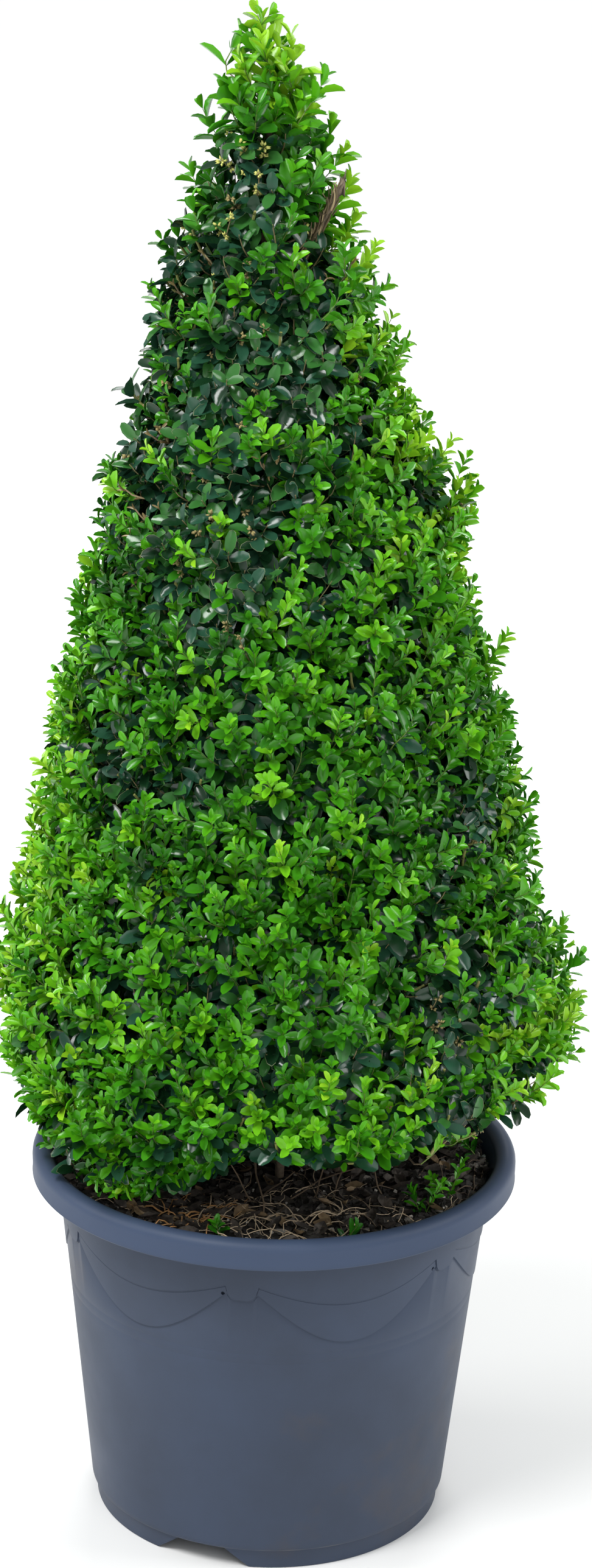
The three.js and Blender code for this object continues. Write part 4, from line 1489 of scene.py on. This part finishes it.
count = LEANING["count"]
foot = rooted(np.array(LEANING["middle"]) + chance.normal(0.0, 1.0, (count, 2)) * LEANING["spread"], 1 * MM)
reach = chance.normal(0.0, LEANING["lean"], (count, 3)) * MM
reach[:, 2] = chance.uniform(0.5, 1.0, count) * LEANING["rise"] * MM
stalks = curves_between(foot, unit(reach), foot + reach, unit(reach), LEANING["steps"], 0.08)
thin = np.linspace(1.0, 0.6, LEANING["steps"] + 1) * LEANING["radius"] * MM * np.ones((count, 1))
settle_wood("dead_stalks", [stalks], [thin], 4, ("dead_stalk", (0.17, 0.12, 0.075), 0.8), "bark")
print(sum(kind["count"] for kind in ROOTLETS), "rootlets and", count, "stalks")

# %% [markdown]
# ## Leaves
# A box leaf is an oval about twice as long as it is wide. Twelve triangles show its outline, its fold along
# the midrib and its bend. Leaves stand in pairs, each pair turned a quarter round the shoot from
# the one below, with their upper faces towards the tip. One tree sets a leaf on every point that carries its
# way, its face and its size. Colours are plain, and are dealt by spray: each colour is one piece.

# %% The leaf's own shape
def leaf_blank(name, outline, fold, bend):
    """Half an outline as (share of length, half width) pairs, mirrored about the midrib."""
    rib = [(0.0, 0.0, 0.0), (0.0, 0.36, 0.0), (0.0, 0.72, 0.0), (0.0, 1.0, 0.0)]
    right = [(width, along, fold * width) for along, width in outline]
    left = [(-across, along, high) for across, along, high in right]
    places = [(x, y, z - bend * y * y) for x, y, z in rib + right + left]
    half = [(0, 4, 1), (4, 5, 1), (5, 6, 1), (6, 2, 1), (6, 7, 2), (7, 3, 2)]
    swap = {4: 8, 5: 9, 6: 10, 7: 11}
    mirrored = [tuple(swap.get(corner, corner) for corner in reversed(face)) for face in half]
    return piece_from(name, mesh_from(name, places, half + mirrored))


YOUNG_LEAF = {"outline": [(0.15, 0.19), (0.42, 0.44), (0.72, 0.49), (0.94, 0.29)], "fold": 0.40, "bend": 0.14}
OLD_LEAF = {"outline": [(0.11, 0.25), (0.34, 0.46), (0.66, 0.50), (0.92, 0.30)], "fold": 0.26, "bend": 0.18}
BLANKS = {"young": leaf_blank("young_leaf", **YOUNG_LEAF), "old": leaf_blank("old_leaf", **OLD_LEAF)}

leafing, leafing_in, leafing_out = new_tree(
    "set_leaves", Leaf="NodeSocketObject", Finish="NodeSocketMaterial"
)
pattern = wire(leafing, "GeometryNodeObjectInfo", Object=leafing_in.outputs["Leaf"])
turn = wire(
    leafing, "FunctionNodeAxesToRotation", Primary_Axis=kept_value(leafing, "face", "FLOAT_VECTOR"),
    Secondary_Axis=kept_value(leafing, "ahead", "FLOAT_VECTOR"),
)
turn.primary_axis = "Z"
turn.secondary_axis = "Y"
spread_leaves = wire(
    leafing, "GeometryNodeInstanceOnPoints", Points=leafing_in.outputs["Geometry"],
    Instance=pattern.outputs["Geometry"], Rotation=turn.outputs["Rotation"],
    Scale=kept_value(leafing, "size", "FLOAT_VECTOR"),
)
single = wire(leafing, "GeometryNodeRealizeInstances", Geometry=spread_leaves.outputs["Instances"])
smooth = wire(leafing, "GeometryNodeSetShadeSmooth", Geometry=single.outputs["Geometry"])
coated = wire(
    leafing, "GeometryNodeSetMaterial", Geometry=smooth.outputs["Geometry"],
    Material=leafing_in.outputs["Finish"],
)
leafing.links.new(coated.outputs["Geometry"], leafing_out.inputs["Geometry"])


def settle_leaves(name, columns, blank, finish, *replaced):
    """Sets a blank on places, by the way, the face and the size of each, and settles the piece."""
    place, ahead, face, size = columns
    points = mesh_from(name, place, values={"ahead": ahead, "face": face, "size": size})
    settle(grown(name, points, leafing, Leaf=blank, Finish=finish), "foliage", *replaced)


print("leaf tree ready")

# %% Leaves in pairs along the shoots
def side_axes(ways):
    """Two axes square to each way."""
    flat = unit(np.cross(ways, UP) + 1e-6)
    return flat, np.cross(ways, flat)


def leaves_along(curves, outs, pairs, stretch, length, width, spread, upturn, tip_bud, wild=0.12):
    """Pairs of leaves over a stretch of each curve. Returns place, ahead, face, size, row and level."""
    rows = len(curves)
    phase = chance.uniform(0.0, math.pi, rows)
    parts = []
    for pair in range(pairs):
        level = pair / max(pairs - 1, 1)
        place, way = point_along(curves, stretch[0] + (stretch[1] - stretch[0]) * level ** 0.85)
        flat, square = side_axes(way)
        quarter = (phase + pair * math.pi / 2 + chance.normal(0.0, 0.16, rows))[:, None]
        side = np.cos(quarter) * flat + np.sin(quarter) * square
        for sign in (-1.0, 1.0):
            open_angle = spread[0] + (spread[1] - spread[0]) * level + chance.normal(0.0, 9.0, rows)
            open_angle = np.radians(open_angle)[:, None]
            ahead = unit(np.cos(open_angle) * way + sign * np.sin(open_angle) * side)
            face = np.sin(open_angle) * way - sign * np.cos(open_angle) * side
            face = unit(face + upturn * (0.75 * outs + 0.5 * UP) + chance.normal(0.0, wild, face.shape))
            ahead = unit(ahead - (ahead * face).sum(1, keepdims=True) * face * 0.7)
            long = length * (1.0 - tip_bud * level ** 2.2) * chance.uniform(0.80, 1.16, rows)
            wide = long * width * chance.uniform(0.88, 1.12, rows)
            deep = long * chance.uniform(0.5, 1.1, rows)
            size = np.stack([wide, long, deep], axis=1)
            parts.append((place, ahead, face, size, np.arange(rows), np.full(rows, level)))
    return [np.concatenate(column) for column in zip(*parts)]


SPRIG_LEAF = 0.72
SHADE_LEAVES_UNDER = {"twigs": 1.10, "shoots": 1.13}
outs = outwards(ends)
bare_share = np.clip(1.0 - shoot_length / shoot_run, 0.0, 0.8)
size_share = 1.0 + np.where(is_old, TOP["old_size"], TOP["size"]) * topmost(ends)
size_share[~is_grown] = SPRIG_LEAF


def shoot_leaves(rows, first, last, length, **habit):
    """Leaves over part of the leafy length of some shoots; 0 is its lower end and 1 the tip."""
    bare = bare_share[rows]
    stretch = (bare + (1.0 - bare) * first, bare + (1.0 - bare) * last)
    length = length * MM * size_share[rows]
    leaves = leaves_along(shoots[rows], outs[rows], stretch=stretch, length=length, **habit)
    leaves[4] = np.flatnonzero(rows)[leaves[4]]
    return leaves


new_leaves = shoot_leaves(
    young, 0.05, 1.0, 18.2, pairs=6, width=0.46, spread=(55, 20), upturn=0.30, tip_bud=0.44
)
old_leaves = shoot_leaves(
    aged, 0.1, 0.88, 22.0, pairs=4, width=0.51, spread=(72, 40), upturn=0.55, tip_bud=0.2, wild=0.25
)
closed_in = twigs[twig_ends[:, 2] < SHADE_LEAVES_UNDER["twigs"]]
inner = leaves_along(
    closed_in, outwards(closed_in[:, -1]), pairs=7,
    stretch=(np.full(len(closed_in), 0.45), np.full(len(closed_in), 0.9)),
    length=24 * MM, width=0.55, spread=(72, 50), upturn=0.6, tip_bud=0.0,
)
under = shoot_leaves(
    young & is_grown & (ends[:, 2] < SHADE_LEAVES_UNDER["shoots"]), -0.35, -0.05, 22.0, pairs=2, width=0.54,
    spread=(74, 60), upturn=0.6, tip_bud=0.0,
)
dry_leaves = shoot_leaves(
    is_dead, 0.1, 0.95, 13.0, pairs=3, width=0.36, spread=(50, 20), upturn=0.2, tip_bud=0.1, wild=0.5
)
print(len(new_leaves[0]), "new leaves,", len(old_leaves[0]), "old,", len(inner[0]) + len(under[0]), "inner")

# %% Leaves kept clear of the hem and the rim
RIM_CLEAR = {"above": 12 * MM, "inside": 17 * MM}


def clear_of_hem(leaves, on_shoots=True):
    """Drops the leaves that would hang under the hem, unless on a sprig, or cut into the pot's rim."""
    place, ahead, _, size = leaves[:4]
    tip = place + ahead * size[:, 1:2]
    lowest = np.minimum(place[:, 2], tip[:, 2])
    free = lowest > hem_at(tip) + chance.normal(0.0, HEM["uneven"], len(tip))
    if on_shoots:
        free |= ~is_grown[leaves[4]]
    furthest = np.maximum(np.hypot(*place[:, :2].T), np.hypot(*tip[:, :2].T))
    over_rim = lowest > RIM["height"] + RIM_CLEAR["above"]
    free &= over_rim | (furthest < RIM["radius"] - RIM_CLEAR["inside"])
    return [column[free] for column in leaves]


new_leaves, old_leaves = clear_of_hem(new_leaves), clear_of_hem(old_leaves)
inner, under = clear_of_hem(inner, on_shoots=False), clear_of_hem(under)
print("clear of the hem:", [len(part[0]) for part in (new_leaves, old_leaves, inner, under)])

# %% Colours dealt by spray
GREENS = {
    "leaf_lime": (0.26, 0.53, 0.019),
    "leaf_spring": (0.145, 0.45, 0.011),
    "leaf_bright": (0.074, 0.325, 0.007),
    "leaf_fresh": (0.041, 0.230, 0.006),
    "leaf_mid": (0.022, 0.140, 0.006),
    "leaf_deep": (0.012, 0.078, 0.007),
}
OLD_GREENS = {
    "old_leaf_mid": (0.032, 0.135, 0.026),
    "old_leaf_blue": (0.017, 0.068, 0.036),
    "old_leaf_dark": (0.006, 0.029, 0.010),
    "dry_leaf": (0.22, 0.165, 0.07),
}
WAX = {"young": (0.25, 0.36), "old": (0.20, 0.40)}
DRY_LEAF_SIZE = (0.5, 0.72, 1.0)
# The lime term makes sprays in the lime patches brighter; on the sides that is painted light.
SPRAY_TONE = {"middle": 2.95, "scatter": 0.85, "lime_and_sunlit": 2.3, "shaded": 0.8, "by_level": 0.9, "by_leaf": 0.35}
SHADED = {"from": 1.06, "over": 0.06}
# Old greens dealt on old shoots, and inside the crown. Inside, the darkest green is dealt most: partly the
# real colour of old inner leaves, partly painted shade for the dark gaps deep in the crown.
OLD_MIX_AND_INNER_SHADE = {"on_shoots": (0.32, 0.39, 0.285, 0.005), "inside": (0.06, 0.30, 0.638, 0.002)}


def leaf_pieces(kind, colours, leaves, choice):
    """One piece to each colour, with the leaves that were given its number."""
    roughness, gloss = WAX[kind]
    for number, (name, colour) in enumerate(colours.items()):
        chosen = choice == number
        if not chosen.any():
            continue
        columns = [column[chosen] for column in leaves[:4]]
        if name == "dry_leaf":
            columns[3] = columns[3] * DRY_LEAF_SIZE
        settle_leaves(name, columns, BLANKS[kind], plain_material(name, colour, roughness, gloss), *MASSES)


# Painted light: sprays in the lime patches on the sides get brighter, yellower greens.
lime_and_sunlit = share_of(LIME_AND_SUNLIT_PATCHES, ends)
shaded = share_of(OLD_PATCHES, ends) * np.clip((ends[:, 2] - SHADED["from"]) / SHADED["over"], 0.0, 1.0)
spray_tone = chance.normal(SPRAY_TONE["middle"], SPRAY_TONE["scatter"], len(ends)) - SPRAY_TONE["lime_and_sunlit"] * lime_and_sunlit
spray_tone = spray_tone + SPRAY_TONE["shaded"] * shaded - TOP["pale"] * topmost(ends)
# Painted light and shade: clumps that stand out get lighter greens, sunk ones darker.
spray_tone[:len(clump_and_shade)] -= CLUMPS_AND_PAINTED_SHADE["tone"] * clump_and_shade
leaf_tone = spray_tone[new_leaves[4]] + SPRAY_TONE["by_level"] * (0.5 - new_leaves[5])
leaf_tone = leaf_tone + chance.normal(0.0, SPRAY_TONE["by_leaf"], len(leaf_tone))
leaf_tone = np.clip(leaf_tone.round(), 0, len(GREENS) - 1)
leaf_pieces("young", GREENS, new_leaves, leaf_tone.astype(int))

dark_leaves = [np.concatenate(column) for column in zip(old_leaves, inner, under, dry_leaves)]
dark_tone = np.concatenate([
    chance.choice(4, len(old_leaves[0]), p=OLD_MIX_AND_INNER_SHADE["on_shoots"]),
    # Inner and under leaves: mostly the darkest green, partly painted shade.
    chance.choice(4, len(inner[0]) + len(under[0]), p=OLD_MIX_AND_INNER_SHADE["inside"]),
    np.full(len(dry_leaves[0]), 3),
])
leaf_pieces("old", OLD_GREENS, dark_leaves, dark_tone)
print(len(new_leaves[0]) + len(dark_leaves[0]), "leaves in", len(GREENS) + len(OLD_GREENS), "colours")

# %% [markdown]
# ## Pale margins
# Some of the old leaves have a paler edge. It is a very narrow strip along one side of the leaf and
# round its tip, a hair over the upper face, and is set with the same tree on the same places.

# %% Pale margins of the old leaves
MARGIN = {"share": 0.4, "width": 0.045, "lift": 0.012, "colour": (0.15, 0.19, 0.09)}


def margin_blank(name, outline, fold, bend):
    """A narrow strip along one side of a leaf and round its tip, just over its upper face."""
    right = [(width, along) for along, width in outline[1:]]
    loop = right + [(0.0, 1.0), (-right[-1][0], right[-1][1])]
    inside = [(x - MARGIN["width"] * x, y + MARGIN["width"] * (0.5 - y)) for x, y in loop]
    places = [(x, y, fold * abs(x) - bend * y * y + MARGIN["lift"]) for x, y in loop + inside]
    count = len(loop)
    faces = [(i, i + 1, count + i + 1, count + i) for i in range(count - 1)]
    return piece_from(name, mesh_from(name, places, faces))


BLANKS["margin"] = margin_blank("margin", **OLD_LEAF)
edged = chance.random(len(old_leaves[0])) < MARGIN["share"]
columns = [column[edged] for column in old_leaves[:4]]
finish = plain_material("leaf_margins", MARGIN["colour"], 0.5)
settle_leaves("leaf_margins", columns, BLANKS["margin"], finish)
print(edged.sum(), "edged leaves")

# %% [markdown]
# ## Blossom and flower heads
# Box flowers stand in small round clusters on last year's shoots. Fresh ones are yellow-green and sit in one
# patch at the left of the tip. Dry ones are tan, and are dealt thinly over the patches of old leaves.

# %% Blossom and dry flower heads
BLOSSOM_PATCHES = [
    {"angle": -48, "height": 1.19, "turn": 34, "rise": 0.04, "amount": 1.0},
    {"angle": 150, "height": 1.16, "turn": 40, "rise": 0.04, "amount": 0.5},
]
HEADS = [
    {"name": "blossom", "colour": (0.56, 0.56, 0.15), "size": 5.2, "patches": BLOSSOM_PATCHES, "share": 0.85},
    {"name": "dry_heads", "colour": (0.33, 0.27, 0.105), "size": 4.4, "patches": OLD_PATCHES, "share": 0.16},
]
BUDS_IN_HEAD = 11
HEADS_AT = (0.72, 0.97)


def head_blank():
    """A round cluster of small pointed buds, two units across."""
    rng = np.random.default_rng(4)
    point_ways = [(1, 0, 0), (0, 1, 0), (-1, 0, 0), (0, -1, 0), (0, 0, 1), (0, 0, -1)]
    sides = [(0, 1), (1, 2), (2, 3), (3, 0)]
    places, faces = [], []
    for way in unit(rng.normal(size=(BUDS_IN_HEAD, 3))):
        across = unit(np.cross(way, UP))
        axes = np.stack([0.22 * across, 0.22 * np.cross(way, across), 0.48 * way])
        base = len(places)
        places += list(0.58 * way + np.array(point_ways) @ axes)
        faces += [(base + a, base + b, base + 4) for a, b in sides]
        faces += [(base + b, base + a, base + 5) for a, b in sides]
    return piece_from("head_blank", mesh_from("head_blank", places, faces))


blank = head_blank()
for head in HEADS:
    wanted = is_old & (chance.random(len(ends)) < head["share"] * share_of(head["patches"], ends))
    bearing = shoots[wanted]
    places = np.concatenate([point_along(bearing, np.full(len(bearing), share))[0] for share in HEADS_AT])
    places = places + 1.5 * MM * outwards(places)
    size = head["size"] * MM * chance.uniform(0.7, 1.2, (len(places), 1)) * np.ones((1, 3))
    ahead = unit(chance.normal(size=places.shape))
    face = unit(chance.normal(size=places.shape))
    finish = plain_material(head["name"], head["colour"], 0.7)
    settle_leaves(head["name"], (places, ahead, face, size), blank, finish)
    print(len(places), head["name"])
bpy.data.objects.remove(blank)
for blank in BLANKS.values():
    bpy.data.objects.remove(blank)
